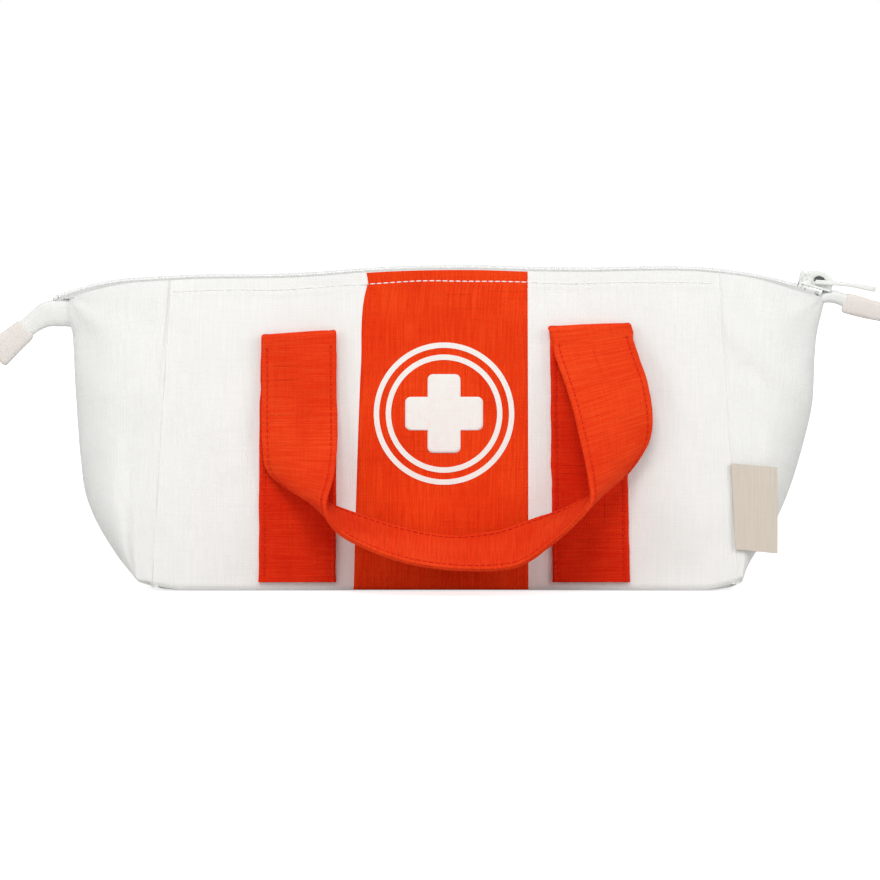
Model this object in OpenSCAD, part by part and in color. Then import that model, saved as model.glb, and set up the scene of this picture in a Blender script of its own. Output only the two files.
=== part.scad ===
// Soft canvas doctor's bag for a child: a flat-based zip pouch that tapers to its
// mouth, with a red centre band and cross, two hanging carrying handles and drawn-out
// zip ends. X runs along the bag, -Y is the front, Z is up; the origin is the centre
// of the underside of the base. Millimetres throughout.

/* [Bag] */
// Length of the base
base_l = 230; // [180:1:300]
// Depth of the base, front to back
base_w = 72; // [56:1:100]
// Height of the zip tape above the floor at mid length
zip_h = 124.5; // [105:0.5:160]
// Length of the front panel's top edge
mouth_l = 217; // [200:1:240]
// Distance from the middle to the folded end of a wing
wing_reach = 150.9; // [146:0.1:175]
// Thickness of a canvas panel with its seam turnings
panel_t = 1.5; // [1:0.1:2.5]
// Thickness of an end gusset
gusset_t = 1.2; // [0.8:0.1:2]
// Thickness of the base, turnings included
base_t = 2; // [1.2:0.1:4]
// How far the front and back panels belly out at half height
belly = 3; // [0:0.5:6]
// How far the ends of the base bow outwards
end_bow = 2; // [0.5:0.5:6]
// Share of the wing's reach that the gusset has already at its belly
gusset_belly = 0.92; // [0.7:0.01:1]

/* [Zip] */
// Radius of the gentle arch that the whole zip follows
track_r = 1150; // [900:10:2000]
// Half length of the zip that opens with the mouth
mouth_half = 92; // [80:1:97]
// Thickness of the zip tape
tape_t = 0.7; // [0.5:0.1:1]
// Radius of one nylon coil
coil_r = 1.05; // [0.8:0.05:1.2]
// Distance from the middle to the slider when the zip is closed
slider_x = 146.4; // [140:0.1:148]
// Length of the slider
slider_l = 14; // [11:0.5:15]
// Width of the slider at its wide end
slider_w = 8.4; // [7.6:0.1:8.8]
// Thickness of each slider plate
plate_t = 1.05; // [0.8:0.05:1.4]
// Height of the bridge above the slider's top plate
bridge_h = 3.2; // [3:0.1:4]
// Length of the pull, from its pin to its tip
pull_l = 24; // [18:0.5:32]
// Width of the pull's tab
pull_w = 6.6; // [5.8:0.1:9]
// Thickness of the pull
pull_t = 1.4; // [1:0.1:1.6]

/* [Tail tabs] */
// Length of a tail tab, past the end of the zip tape
tail_l = 23.8; // [16:0.2:36]
// Height of the right tail tab
right_tab_h = 8; // [5:0.5:9]
// Height of the drooping left tail tab, across its slope
left_tab_h = 10.5; // [7:0.5:13]
// Thickness of a folded tail tab
tab_t = 3.2; // [2:0.2:5]
// How steeply the left tab droops, in degrees
left_droop = 37; // [20:1:50]

/* [Centre band and emblem] */
// Width of the band at the bottom, left of the middle
band_left = 36; // [28:0.5:40]
// Width that the band's left side loses towards the top
band_taper = 5; // [0:0.5:8]
// Width of the band right of the middle
band_right = 32.8; // [28:0.2:40]
// Thickness of the band's canvas
band_t = 0.5; // [0.3:0.1:1]
// Height of the emblem's centre
emblem_z = 69; // [60:0.5:80]
// Outer radius of the outer ring
ring_r = 27.7; // [22:0.1:28]
// Width of each printed ring
ring_w = 2.1; // [1:0.1:2.5]
// Clear space between the two rings
ring_gap = 2.6; // [1:0.1:4]
// Span of the cross, tip to tip
cross_span = 30.7; // [20:0.1:34]
// Width of an arm of the cross
cross_arm = 13; // [8:0.5:16]
// Radius of the cross's corners
cross_r = 1.8; // [0.5:0.1:3]
// Thickness of the print
print_t = 0.3; // [0.2:0.05:0.5]

/* [Handles] */
// Width of the strap
strap_w = 30; // [20:1:34]
// Thickness of the folded strap
strap_t = 2.2; // [1.4:0.1:3]
// Distance from the middle to a strap's centre line
strap_x = 57.7; // [54:0.1:70]
// Height of the straps' lower ends
strap_z = 3.5; // [2:0.5:10]
// Height of the fold from which a handle hangs
fold_z = 101.5; // [90:0.5:106]
// Drop from the fold to the lowest part of the hanging loop
loop_drop = 85.3; // [60:0.1:86]
// How far the hanging loop stands off the sewn strap
loop_stand = 2; // [1.2:0.1:4]

/* [Side label] */
// Width of the folded label
label_w = 17.6; // [12:0.2:20]
// Height of the label
label_h = 34; // [20:1:45]
// Thickness of the folded label
label_t = 0.8; // [0.5:0.1:1.5]
// Height of the label's lower edge
label_z = 14; // [8:1:30]

/* [Hidden] */

white = [0.95, 0.95, 0.94];
cream = [0.93, 0.89, 0.85];
red = [0.90, 0.22, 0.12];
metal = [0.86, 0.87, 0.88];
beige = [0.80, 0.76, 0.70];

gap = 0.3;              // clearance between pieces of different bodies
far = 400;              // longer than the bag in any direction
fine = 720;             // facets of the track's circle
rows = 16;              // steps of a panel's curved profile
seam_gap = 0.4;         // room under and beside a panel's lower edge

coil_y = coil_r + 0.1;                        // the two coils all but meet
coil_z = tape_t / 2 + coil_r;                 // coils lie on the tape
slot = tape_t / 2 + gap;                      // half height of the slider's tape slot
top_in = coil_z + coil_r + gap;               // underside of the slider's top plate
top_out = top_in + plate_t;
tape_in = 0.6;                                // the tape starts beside the teeth
tape_side = 1.4;                              // tape that shows beside the slider
tape_out = slider_w / 2 + tape_side;          // outer edge of the wings' tape
skirt_w = 0.7;                                // turned-down edge of the wings' tape
skirt_over = 0.65;                            // how far it reaches below the slider
skirt_h = plate_t + slot + skirt_over;        // it reaches down to the gusset's top edge
gusset_drop = skirt_h + gap;                  // gusset's top edge below the tape's middle
hem_y = tape_out + gap + panel_t;             // outer face of a panel at the zip
half_l = base_l / 2;
half_w = base_w / 2;
half_mouth = mouth_l / 2;
flare = 1 - gusset_belly;

// Outer face of the front or back panel at height z, measured from the mid plane
function panel_y(z) = half_w - (half_w - hem_y) * z / zip_h
    + 4 * belly * (z / zip_h) * (1 - z / zip_h);

// Side seam of a panel at height z
function seam_x(z) = half_l - (half_l - half_mouth) * z / zip_h;

// Folded end line of a gusset at height z
function apex_x(z) = half_l + end_bow + (wing_reach - half_l - end_bow)
    * (gusset_belly * (1 - pow(1 - min(1, z / zip_h), 3.2)) + flare * pow(z / zip_h, 6));

// Height of the zip tape at x
function track_z(x) = zip_h - track_r + sqrt(track_r * track_r - x * x);

// ---- shared builders ----

// Front or back sheet between two offsets from the panel's outer face
module sheet(inner, outer, z0 = seam_gap, z1 = zip_h + 4) {
    zs = [for (i = [0:rows]) z0 + (z1 - z0) * i / rows];
    rotate([90, 0, 90])
        translate([0, 0, -far / 2])
            linear_extrude(far)
                polygon(concat([for (z = zs) [-panel_y(z) - outer, z]],
                               [for (i = [rows:-1:0]) [-panel_y(zs[i]) - inner, zs[i]]]));
}

// Block over a flat outline in the X-Z plane, covering the whole front
module over_front() {
    translate([0, -0.5, 0])
        rotate([90, 0, 0])
            linear_extrude(far / 2)
                children();
}

// Everything up to a given offset above the zip's arch
module under_track(offset_z) {
    translate([0, 0, zip_h - track_r])
        rotate([90, 0, 0])
            cylinder(r = track_r + offset_z, h = far, center = true, $fn = fine);
}

// A section (height above the track, distance to the front) swept from x1 to x2
module along_track(x1, x2) {
    a1 = asin(x1 / track_r);
    a2 = asin(x2 / track_r);
    translate([0, 0, zip_h - track_r])
        rotate([90, 0, 0])
            rotate([0, 0, 90 - a2])
                rotate_extrude(angle = a2 - a1, $fn = fine)
                    translate([track_r, 0])
                        children();
}

// Places a piece that is drawn at the top of the arch at distance x along it
module at_track(x) {
    translate([0, 0, zip_h - track_r])
        rotate([0, asin(x / track_r), 0])
            translate([0, 0, track_r])
                children();
}

// Turns a front piece into the matching back piece
module as_back() {
    rotate([0, 0, 180])
        children();
}

// ---- panels, base and gussets ----

module panel() {
    intersection() {
        sheet(-panel_t, 0);
        over_front()
            polygon([[-half_l + gap, 0], [half_l - gap, 0],
                     [half_mouth - gap, zip_h + 3], [-half_mouth + gap, zip_h + 3]]);
        under_track(-tape_t / 2);
    }
}

module base_panel() {
    color(white)
        translate([-half_l + gusset_t + gap, -half_w + panel_t + seam_gap, 0])
            cube([base_l - 2 * (gusset_t + gap), base_w - 2 * (panel_t + seam_gap), base_t]);
}

// Plan shape of a gusset: rounded at the base, closing to a narrow wing at the zip
around = 26;            // steps from the front seam to the back seam
levels = 13;            // steps from the base to the zip
round_low = 1.12;
round_top = 0.4;
function roundness(z) = round_low + (round_top - round_low) * pow(z / zip_h, 3);
function plan_pow(value, power) = sign(value) * pow(abs(value), power);
function wing_top(a) = track_z(half_mouth + (wing_reach - half_mouth)
    * pow(max(0, cos(a)), round_top)) - gusset_drop;
function gusset_point(a, v, inset) =
    let (z = v * wing_top(a), e = roundness(z), x0 = seam_x(z))
    [x0 + (apex_x(z) - inset - x0) * pow(max(0, cos(a)), e),
     (panel_y(z) - inset) * plan_pow(sin(a), e), z];

module gusset() {
    angles = [for (i = [0:around]) -90 + 180 * i / around];
    outer = [for (j = [0:levels]) for (a = angles) gusset_point(a, j / levels, 0)];
    inner = [for (j = [0:levels]) for (a = angles) gusset_point(a, j / levels, gusset_t)];
    row = around + 1;
    back = row * (levels + 1);
    walls = [for (j = [0:levels - 1]) for (i = [0:around - 1])
        let (p = j * row + i)
        each [[p, p + row, p + 1], [p + 1, p + row, p + row + 1],
              [back + p, back + p + 1, back + p + row],
              [back + p + 1, back + p + row + 1, back + p + row]]];
    rims = [for (i = [0:around - 1])
        let (t = levels * row + i)
        each [[i, i + 1, back + i], [i + 1, back + i + 1, back + i],
              [t, back + t, t + 1], [t + 1, back + t, back + t + 1]]];
    ends = [for (j = [0:levels - 1])
        let (p = j * row, q = j * row + around)
        each [[p, back + p, p + row], [p + row, back + p, back + p + row],
              [q, q + row, back + q], [q + row, back + q + row, back + q]]];
    polyhedron(points = concat(outer, inner), faces = concat(walls, rims, ends), convexity = 6);
}

module gusset_right() {
    color(white)
        gusset();
}

module gusset_left() {
    color(white)
        as_back()
            gusset();
}

module front_panel() {
    color(white)
        panel();
}

module back_panel() {
    color(white)
        as_back()
            panel();
}

// ---- centre band and printed emblem ----

module band(left, taper, right) {
    intersection() {
        sheet(0, band_t);
        over_front()
            polygon([[-left, 0], [right, 0], [right, zip_h + 3], [-left + taper, zip_h + 3]]);
        under_track(-tape_t / 2 - gap);
    }
}

module front_band() {
    color(red)
        band(band_left, band_taper, band_right);
}

module back_band() {
    color(red)
        as_back()
            band(band_right, 0, band_right);
}

module print() {
    intersection() {
        sheet(band_t, band_t + print_t);
        over_front()
            translate([0, emblem_z])
                children();
    }
}

module ring(r) {
    difference() {
        circle(r = r, $fn = 96);
        circle(r = r - ring_w, $fn = 96);
    }
}

module rounded_bar(l, w) {
    square([l - 2 * cross_r, w], center = true);
    square([l, w - 2 * cross_r], center = true);
    for (x = [-1, 1])
        for (y = [-1, 1])
            translate([x * (l / 2 - cross_r), y * (w / 2 - cross_r)])
                circle(r = cross_r, $fn = 32);
}

module emblem_cross() {
    color(white)
        print() {
            rounded_bar(cross_span, cross_arm);
            rounded_bar(cross_arm, cross_span);
        }
}

module emblem_ring_outer() {
    color(white)
        print()
            ring(ring_r);
}

module emblem_ring_inner() {
    color(white)
        print()
            ring(ring_r - ring_w - ring_gap);
}

// ---- straps and hanging handle loops ----

module strap(x) {
    intersection() {
        sheet(0, strap_t);
        over_front()
            translate([x - strap_w / 2, strap_z])
                square([strap_w, fold_z - 3 * strap_t - strap_z]);
    }
}

module strap_front_left() {
    color(red)
        strap(-strap_x);
}

module strap_front_right() {
    color(red)
        strap(strap_x);
}

module strap_back_left() {
    color(red)
        as_back()
            strap(strap_x);
}

module strap_back_right() {
    color(red)
        as_back()
            strap(-strap_x);
}

// Stations along the loop, from the left fold to the right fold: place as a share of
// strap_x, drop as a share of loop_drop, distance of the strap's rear edge from the
// sewn strap's face as a share of loop_stand, turn of the strap about the vertical,
// and tilt of the strap's width
LOOP = [[-1.00, 0.00, 0.1, 0, -3],
        [-1.00, 0.06, 0.8, 0, -3],
        [-0.995, 0.31, 1, 2, -1],
        [-0.99, 0.52, 1.2, 8, 0],
        [-0.985, 0.65, 0.8, 28, 3],
        [-0.94, 0.74, 0.8, 58, 8],
        [-0.80, 0.82, 0.8, 80, 13],
        [-0.62, 0.885, 0.3, 88, 17],
        [-0.31, 0.96, -0.15, 90, 20],
        [0.035, 1.00, -0.15, 90, 20],
        [0.35, 0.99, -0.15, 90, 24],
        [0.54, 0.955, -0.05, 92, 27],
        [0.71, 0.895, 0.5, 94, 20],
        [0.875, 0.825, 1.2, 98, 11],
        [1.066, 0.725, 1.5, 112, 5],
        [1.127, 0.625, 1.6, 130, 1],
        [1.16, 0.50, 2, 155, 0],
        [1.14, 0.31, 2.9, 170, 0],
        [1.075, 0.15, 2.1, 177, 1],
        [1.02, 0.05, 0.8, 180, 3],
        [1.00, 0.00, 0.1, 180, 3]];
loop_steps = 4;         // rings between two stations

function smooth_at(p, i, t) =
    let (n = len(p) - 1, a = p[max(0, i - 1)], b = p[i], c = p[min(n, i + 1)], d = p[min(n, i + 2)])
    b + 0.5 * t * (c - a + t * (2 * a - 5 * b + 4 * c - d + t * (3 * (b - c) + d - a)));
function unit(v) = v / norm(v);
function loop_width(s) = [-cos(s[3]) * cos(s[4]), sin(s[3]) * cos(s[4]), sin(s[4])];
function loop_centre(s) =
    let (z = fold_z - s[1] * loop_drop)
    [s[0] * strap_x,
     -panel_y(z) - strap_t - s[2] * loop_stand - strap_w / 2 * sin(s[3]) * cos(s[4]), z];

module handle_loop() {
    last = (len(LOOP) - 1) * loop_steps;
    stations = [for (k = [0:last])
        smooth_at(LOOP, floor(k / loop_steps), (k % loop_steps) / loop_steps)];
    centres = [for (s = stations) loop_centre(s)];
    points = [for (k = [0:last])
        let (along = unit(centres[min(last, k + 1)] - centres[max(0, k - 1)]),
             w = loop_width(stations[k]) * strap_w / 2,
             n = unit(cross(along, w)) * strap_t / 2)
        each [centres[k] - w - n, centres[k] + w - n, centres[k] + w + n, centres[k] - w + n]];
    sides = [for (k = [0:last - 1]) for (i = [0:3])
        let (p = 4 * k + i, q = 4 * k + (i + 1) % 4)
        each [[p, p + 4, q], [q, p + 4, q + 4]]];
    e = 4 * last;
    polyhedron(points = points,
               faces = concat(sides, [[0, 1, 2], [0, 2, 3], [e, e + 2, e + 1], [e, e + 3, e + 2]]),
               convexity = 8);
}

module handle_front() {
    color(red)
        handle_loop();
}

module handle_back() {
    color(red)
        as_back()
            handle_loop();
}

// ---- zip ----

stop_l = 2;             // length of an end stop
tape_over = 1.2;        // tape past the end stop
slider_end = slider_x + slider_l / 2;
coil_end = slider_end + gap;
tape_end = coil_end + stop_l + tape_over;

module coil_section() {
    translate([coil_z, coil_y])
        circle(r = coil_r, $fn = 32);
}

// Tape of the part that opens: it lies on the panel's top edge
module zip_tape_front() {
    color(white)
        along_track(-mouth_half, mouth_half)
            translate([-tape_t / 2, tape_in])
                square([tape_t, hem_y - tape_in]);
}

module zip_coil_front() {
    color(white)
        along_track(-mouth_half, mouth_half)
            coil_section();
}

module zip_tape_back() {
    color(white)
        as_back()
            along_track(-mouth_half, mouth_half)
                translate([-tape_t / 2, tape_in])
                    square([tape_t, hem_y - tape_in]);
}

module zip_coil_back() {
    color(white)
        as_back()
            along_track(-mouth_half, mouth_half)
                coil_section();
}

// Tape of a wing: both halves, each with its edge turned down onto the gusset
module wing_tape() {
    for (side = [0, 1])
        mirror([0, side, 0])
            along_track(mouth_half + gap, tape_end) {
                translate([-tape_t / 2, tape_in])
                    square([tape_t, tape_out - tape_in]);
                translate([-skirt_h, tape_out - skirt_w])
                    square([skirt_h, skirt_w]);
            }
}

module wing_coils() {
    for (side = [0, 1])
        mirror([0, side, 0])
            along_track(mouth_half + gap, coil_end)
                coil_section();
}

// Stop that clasps both coils where the zip ends
module end_stop() {
    at_track(coil_end + gap + stop_l / 2)
        translate([-stop_l / 2, -2 * coil_y, tape_t / 2])
            cube([stop_l, 4 * coil_y, 2 * coil_r]);
}

module zip_tape_right() {
    color(white)
        wing_tape();
}

module zip_tape_left() {
    color(white)
        as_back()
            wing_tape();
}

module zip_coil_right() {
    color(white)
        wing_coils();
}

module zip_coil_left() {
    color(white)
        as_back()
            wing_coils();
}

module zip_stop_right() {
    color(metal)
        end_stop();
}

module zip_stop_left() {
    color(metal)
        as_back()
            end_stop();
}

// Slider, seen from above: wide where the halves come in, narrow where they leave closed
narrow_w = slider_w - 1.6;
module slider_plan(inset) {
    w = slider_w / 2 - inset;
    n = narrow_w / 2 - inset;
    l = slider_l / 2;
    c = 1.4;
    polygon([[-l, -n + c], [-l + c, -n], [0, -n], [3, -w], [l - c, -w], [l, -w + c],
             [l, w - c], [l - c, w], [3, w], [0, n], [-l + c, n], [-l, n - c]]);
}

module slider_flange(z0, z1) {
    wall = 0.9;
    translate([0, 0, z0])
        linear_extrude(z1 - z0)
            intersection() {
                difference() {
                    slider_plan(0);
                    slider_plan(wall);
                }
                union() {
                    translate([-slider_l, coil_y + coil_r + gap])
                        square([2 * slider_l, slider_w]);
                    translate([-slider_l, -coil_y - coil_r - gap - slider_w])
                        square([2 * slider_l, slider_w]);
                }
            }
}

bridge_t = 1.15;        // thickness of the bridge's bar
bridge_w = 1.8;         // width of the bridge
bridge_l = 12;          // length of the bridge
module slider_bridge() {
    rotate([90, 0, 0])
        translate([0, 0, -bridge_w / 2])
            linear_extrude(bridge_w)
                difference() {
                    polygon([[-bridge_l / 2, top_out - 0.2], [bridge_l / 2, top_out - 0.2],
                             [bridge_l / 2, top_out + 0.5 * bridge_h],
                             [bridge_l / 2 - 1.6, top_out + bridge_h],
                             [-bridge_l / 2 + 1, top_out + bridge_h],
                             [-bridge_l / 2, top_out + bridge_h - 1]]);
                    polygon([[-bridge_l / 2 + bridge_t, top_out], [bridge_l / 2 - bridge_t, top_out],
                             [bridge_l / 2 - bridge_t, top_out + 0.4 * bridge_h],
                             [bridge_l / 2 - bridge_t - 1.4, top_out + bridge_h - bridge_t],
                             [-bridge_l / 2 + bridge_t, top_out + bridge_h - bridge_t]]);
                }
}

module slider() {
    color(metal)
        at_track(slider_x) {
            translate([0, 0, top_in])
                linear_extrude(plate_t)
                    slider_plan(0);
            slider_flange(slot, top_in);
            slider_bridge();
            translate([0, 0, -slot - plate_t])
                linear_extrude(plate_t)
                    slider_plan(0);
        }
}

// Pull: a tab with a slotted eye whose end bar passes under the bridge
pull_z = top_out + gap + pull_t / 2;
eye_w = bridge_w + 0.9;
eye_l = bridge_l / 2 + 2.4;
rail_w = 1.5;
module pull_tab() {
    color(metal)
        at_track(slider_x)
            translate([0, 0, pull_z]) {
                rotate([90, 0, 0])
                    cylinder(r = pull_t / 2, h = eye_w + 2 * rail_w, center = true, $fn = 48);
                translate([0, 0, -pull_t / 2])
                    linear_extrude(pull_t)
                        difference() {
                            union() {
                                translate([0, -eye_w / 2 - rail_w])
                                    square([eye_l + 3, eye_w + 2 * rail_w]);
                                translate([eye_l + 3, 0])
                                    circle(d = pull_w, $fn = 64);
                                translate([eye_l + 3, -pull_w / 2])
                                    square([pull_l - pull_w / 2 - eye_l - 3, pull_w]);
                                translate([pull_l - pull_w / 2, 0])
                                    circle(d = pull_w, $fn = 64);
                            }
                            translate([-1, -eye_w / 2])
                                square([eye_l + 1, eye_w]);
                        }
            }
}

// ---- tail tabs ----

tab_start = tape_end + gap;
tail_reach = tab_start + tail_l;
corner = 2;             // how much a tab's corners are drawn in
right_fall = 3;         // how far the right tab's tip hangs down

module tab_solid() {
    color(cream)
        translate([0, tab_t / 2, 0])
            rotate([90, 0, 0])
                linear_extrude(tab_t)
                    children();
}

module tail_tab_right() {
    z = track_z(tape_end) - 0.2 * corner;
    h = right_tab_h / 2;
    x0 = tab_start;
    tip = z - right_fall;
    tab_solid()
        polygon([[x0, z - h + corner], [x0 + corner, z - h], [tail_reach - corner, tip - h],
                 [tail_reach, tip - h + corner], [tail_reach, tip + h - corner / 2],
                 [tail_reach - corner / 2, tip + h], [x0 + corner, z + h],
                 [x0, z + h - corner / 2]]);
}

module tail_tab_left() {
    x0 = -tab_start;
    z = track_z(tape_end) + 0.4 * corner;
    h = left_tab_h / cos(left_droop);
    slope = tan(left_droop);
    tip = z - slope * (tail_l - 1.5 * corner);
    tab_solid()
        polygon([[x0, z], [x0, z - 0.7 * h], [x0 - 1.5 * corner, z - h - corner / 2],
                 [-tail_reach + 2 * corner, z - h - slope * (tail_l - 2 * corner)],
                 [-tail_reach, tip - 0.8 * h], [-tail_reach, tip],
                 [x0 - 0.45 * tail_l, z - 0.2 * slope * tail_l]]);
}

// ---- side label ----

label_turn = 8;         // how far the label lies back towards the gusset, in degrees
label_seam = 0.3;       // the seam holds the label this far off the panel
label_mid = label_z + label_h / 2;
label_lean = atan((panel_y(label_z) - panel_y(label_z + label_h)) / label_h);
label_cant = atan((seam_x(label_z) - seam_x(label_z + label_h)) / label_h);
module side_label() {
    color(beige)
        translate([seam_x(label_mid), -panel_y(label_mid) - gap - label_t / 2 - label_seam,
                   label_mid])
            rotate([-label_lean, -label_cant, 0])
                rotate([0, 0, label_turn])
                    translate([0, -label_t / 2, -label_h / 2])
                        cube([label_w, label_t, label_h]);
}

base_panel();
gusset_left();
gusset_right();
zip_tape_left();
zip_tape_right();
zip_coil_left();
zip_coil_right();
zip_stop_left();
zip_stop_right();
tail_tab_left();
tail_tab_right();
front_panel();
front_band();
emblem_cross();
emblem_ring_outer();
emblem_ring_inner();
strap_front_left();
strap_front_right();
zip_tape_front();
zip_coil_front();
back_panel();
back_band();
strap_back_left();
strap_back_right();
zip_tape_back();
zip_coil_back();
slider();
pull_tab();
handle_front();
handle_back();
side_label();
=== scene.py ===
# Looks of a soft canvas doctor's bag for a child: canvas panels and end gussets, a red
# centre band with a printed cross, two hanging strap handles, a coil zip, tabs and label.
# Sizes and points are in millimetres, in the frame's axes: X along the bag, -Y the
# front, Z up from the floor. They become metres when a mesh is made.

import math

import bpy
import numpy as np
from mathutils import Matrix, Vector


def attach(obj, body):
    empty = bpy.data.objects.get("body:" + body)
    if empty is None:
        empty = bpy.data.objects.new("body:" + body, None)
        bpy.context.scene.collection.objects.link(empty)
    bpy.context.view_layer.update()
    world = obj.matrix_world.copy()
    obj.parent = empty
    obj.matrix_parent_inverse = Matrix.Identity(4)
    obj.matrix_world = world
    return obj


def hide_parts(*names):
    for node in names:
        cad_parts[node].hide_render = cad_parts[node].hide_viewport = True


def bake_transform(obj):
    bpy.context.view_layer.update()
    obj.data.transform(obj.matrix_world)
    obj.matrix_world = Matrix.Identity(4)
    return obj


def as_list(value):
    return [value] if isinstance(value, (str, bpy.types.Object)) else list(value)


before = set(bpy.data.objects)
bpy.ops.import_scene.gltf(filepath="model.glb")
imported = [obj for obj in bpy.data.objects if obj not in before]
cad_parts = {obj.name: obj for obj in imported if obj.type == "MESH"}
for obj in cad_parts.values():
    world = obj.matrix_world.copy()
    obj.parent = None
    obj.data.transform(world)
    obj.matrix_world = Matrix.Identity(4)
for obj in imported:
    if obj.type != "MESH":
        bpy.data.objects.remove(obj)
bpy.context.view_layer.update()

MM = 0.001

# ---------------------------------------------------------------- sizes of the bag

BASE_L = 230.0
BASE_W = 72.0
ZIP_H = 124.5          # height of the zip tape at mid length
MOUTH_L = 217.0        # front panel's top edge
BELLY = 3.0            # how far the panels belly out
HEM_Y = 7.4            # outer face of a panel at the zip
HALF_L = BASE_L / 2
HALF_W = BASE_W / 2
HALF_MOUTH = MOUTH_L / 2
CANVAS_T = 1.1         # thickness of the visible canvas

TRACK_R = 1150.0       # the zip's gentle arch
TAPE_T = 0.7
TAPE_IN = 0.6          # inner edge of each tape from the mid line
COIL_R = 1.05
COIL_Y = COIL_R + 0.1
COIL_Z = TAPE_T / 2 + COIL_R
COIL_END = 153.7
TAPE_END = 156.9
SLIDER_X = 146.4
SLIDER_L = 14.0
SLIDER_W = 8.4
PLATE_T = 1.05
PLATE_TOP = 2.85       # upper face of the slider's top plate, above the tape
PULL_Z = 4.4           # the pull's pin, above the tape
PULL_L = 24.0
PULL_W = 6.6

BAND_LEFT = 36.0
BAND_RIGHT = 32.8
BAND_T = 0.55
EMBLEM_X = -0.4
EMBLEM_Z = 69.0
RING_R = 27.7
RING_W = 2.1
RING_GAP = 2.6
CROSS_SPAN = 30.7
CROSS_ARM = 13.0
CROSS_R = 2.2

STRAP_W = 30.0
STRAP_T = 2.1
STRAP_X = 57.7
STRAP_Z = 3.5
FOLD_Z = 101.5
LOOP_DROP = 85.3
LOOP_STAND = 2.0
STRAP_SEAT = 1.2       # centre of the sewn strap above the panel's face
FOLD_CUT = 95.0        # height at which a sewn end stops and the rise to its fold starts

LABEL_W = 17.6
LABEL_H = 34.0
LABEL_Z = 14.0

# End folds of the two gussets, seen from the front: (height, distance from the middle)
LEFT_FOLD = ((0, 116.6), (3, 121.5), (8, 127.4), (14, 132.4), (24, 138.6), (34, 142.8),
             (50, 145.2), (75, 147.0), (95, 148.2), (100, 148.5), (104, 149.7), (107, 150.6),
             (110, 150.6), (112.5, 149.9), (115, 148.6), (118, 147.5), (125, 146.5))
RIGHT_FOLD = ((0, 116.6), (3, 117.6), (7, 119.6), (14, 124.6), (25, 131.8), (38, 137.4),
              (54, 142.4), (71, 146.2), (89, 147.2), (100, 148.2), (112, 150.8), (125, 152.5))
# Cloth that lies flat beside each side seam before it turns in: (height, width)
LEFT_RIB = ((0, 0.9), (2, 3.8), (5, 6.2), (9, 7.0), (45, 6.6), (75, 4.4), (100, 1.6), (125, 0.8))
RIGHT_RIB = ((0, 0.7), (3, 1.8), (8, 2.6), (60, 3.2), (100, 1.8), (125, 0.8))


# ---------------------------------------------------------------- shapes of the bag

def panel_y(z):
    """Outer face of a panel at height z, measured from the mid plane."""
    s = z / ZIP_H
    return HALF_W - (HALF_W - HEM_Y) * s + 4 * BELLY * s * (1 - s)


def seam_x(z):
    """Side seam of a panel at height z."""
    return HALF_L - (HALF_L - HALF_MOUTH) * z / ZIP_H


# How far the cloth holds the zip off its plain arch, along X
ZIP_LIFT = ((-158, -2.2), (-152, -0.9), (-146, 0.1), (-136, 1.4), (-127, 1.7), (-118, 1.3),
            (-108, 0.9), (-96, 0.3), (-81, -0.7), (-65, -1.5), (-49, -1.5), (-33, -0.8),
            (-12, -0.2), (12, 0.0), (36, -0.2), (56, 0.4), (78, 2.1), (98, 3.5), (112, 3.6),
            (124, 3.0), (133, 2.0), (140, 1.0), (147, 0.1), (153, -0.2), (158, -0.3))


def zip_lift(x):
    return through(ZIP_LIFT, x)


def zip_z(x):
    """Middle of the zip tape at x."""
    return ZIP_H - TRACK_R + np.sqrt(TRACK_R ** 2 - np.square(x)) + zip_lift(x)


def smooth_step(t):
    t = np.clip(t, 0, 1)
    return t * t * (3 - 2 * t)


def bump(x, centre, width):
    return np.exp(-np.square((x - centre) / width))


def through(points, value):
    """Smooth curve through given (place, size) points."""
    places = np.array([p[0] for p in points], float)
    sizes = np.array([p[1] for p in points], float)
    slopes = np.gradient(sizes, places)
    value = np.clip(value, places[0], places[-1])
    i = np.clip(np.searchsorted(places, value, side="right") - 1, 0, len(places) - 2)
    span = places[i + 1] - places[i]
    t = (value - places[i]) / span
    return ((2 * t ** 3 - 3 * t ** 2 + 1) * sizes[i] + (t ** 3 - 2 * t ** 2 + t) * span * slopes[i]
            + (3 * t ** 2 - 2 * t ** 3) * sizes[i + 1] + (t ** 3 - t ** 2) * span * slopes[i + 1])


def value_noise(x, y, seed):
    """Smooth noise from -1 to 1 on a unit grid, the same each run."""
    rng = np.random.default_rng(seed)
    table = rng.uniform(-1, 1, (64, 64))
    xi, yi = np.floor(x).astype(int), np.floor(y).astype(int)
    fx, fy = smooth_step(x - xi), smooth_step(y - yi)

    def at(i, j):
        return table[i % 64, j % 64]
    low = at(xi, yi) * (1 - fx) + at(xi + 1, yi) * fx
    high = at(xi, yi + 1) * (1 - fx) + at(xi + 1, yi + 1) * fx
    return low * (1 - fy) + high * fy


def cloth_noise(x, y, size, seed):
    """Soft unevenness of cloth at about the given size, in millimetres."""
    return (value_noise(x / size, y / size, seed)
            + 0.45 * value_noise(x / size * 2.1 + 7, y / size * 2.1 + 3, seed + 1)) / 1.45


HEM_STITCH = 3.4       # topstitch below the panel's top edge
SIDE_ROLL = 1.6        # width over which a panel rolls in at its side seam


LEFT_LIFT = 1.4        # how far the rounded bottom corners stand off the floor
RIGHT_LIFT = 2.6
LIFT_FROM = 100.0      # the bottom edge starts to rise at this distance from the middle


def foot_lift(x):
    """Height of the panels' bottom edge; the right corner is rounder than the left."""
    rise = smooth_step((np.abs(x) - LIFT_FROM) / (HALF_L - LIFT_FROM)) ** 1.5
    return np.where(x > 0, RIGHT_LIFT, LEFT_LIFT) * rise


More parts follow.
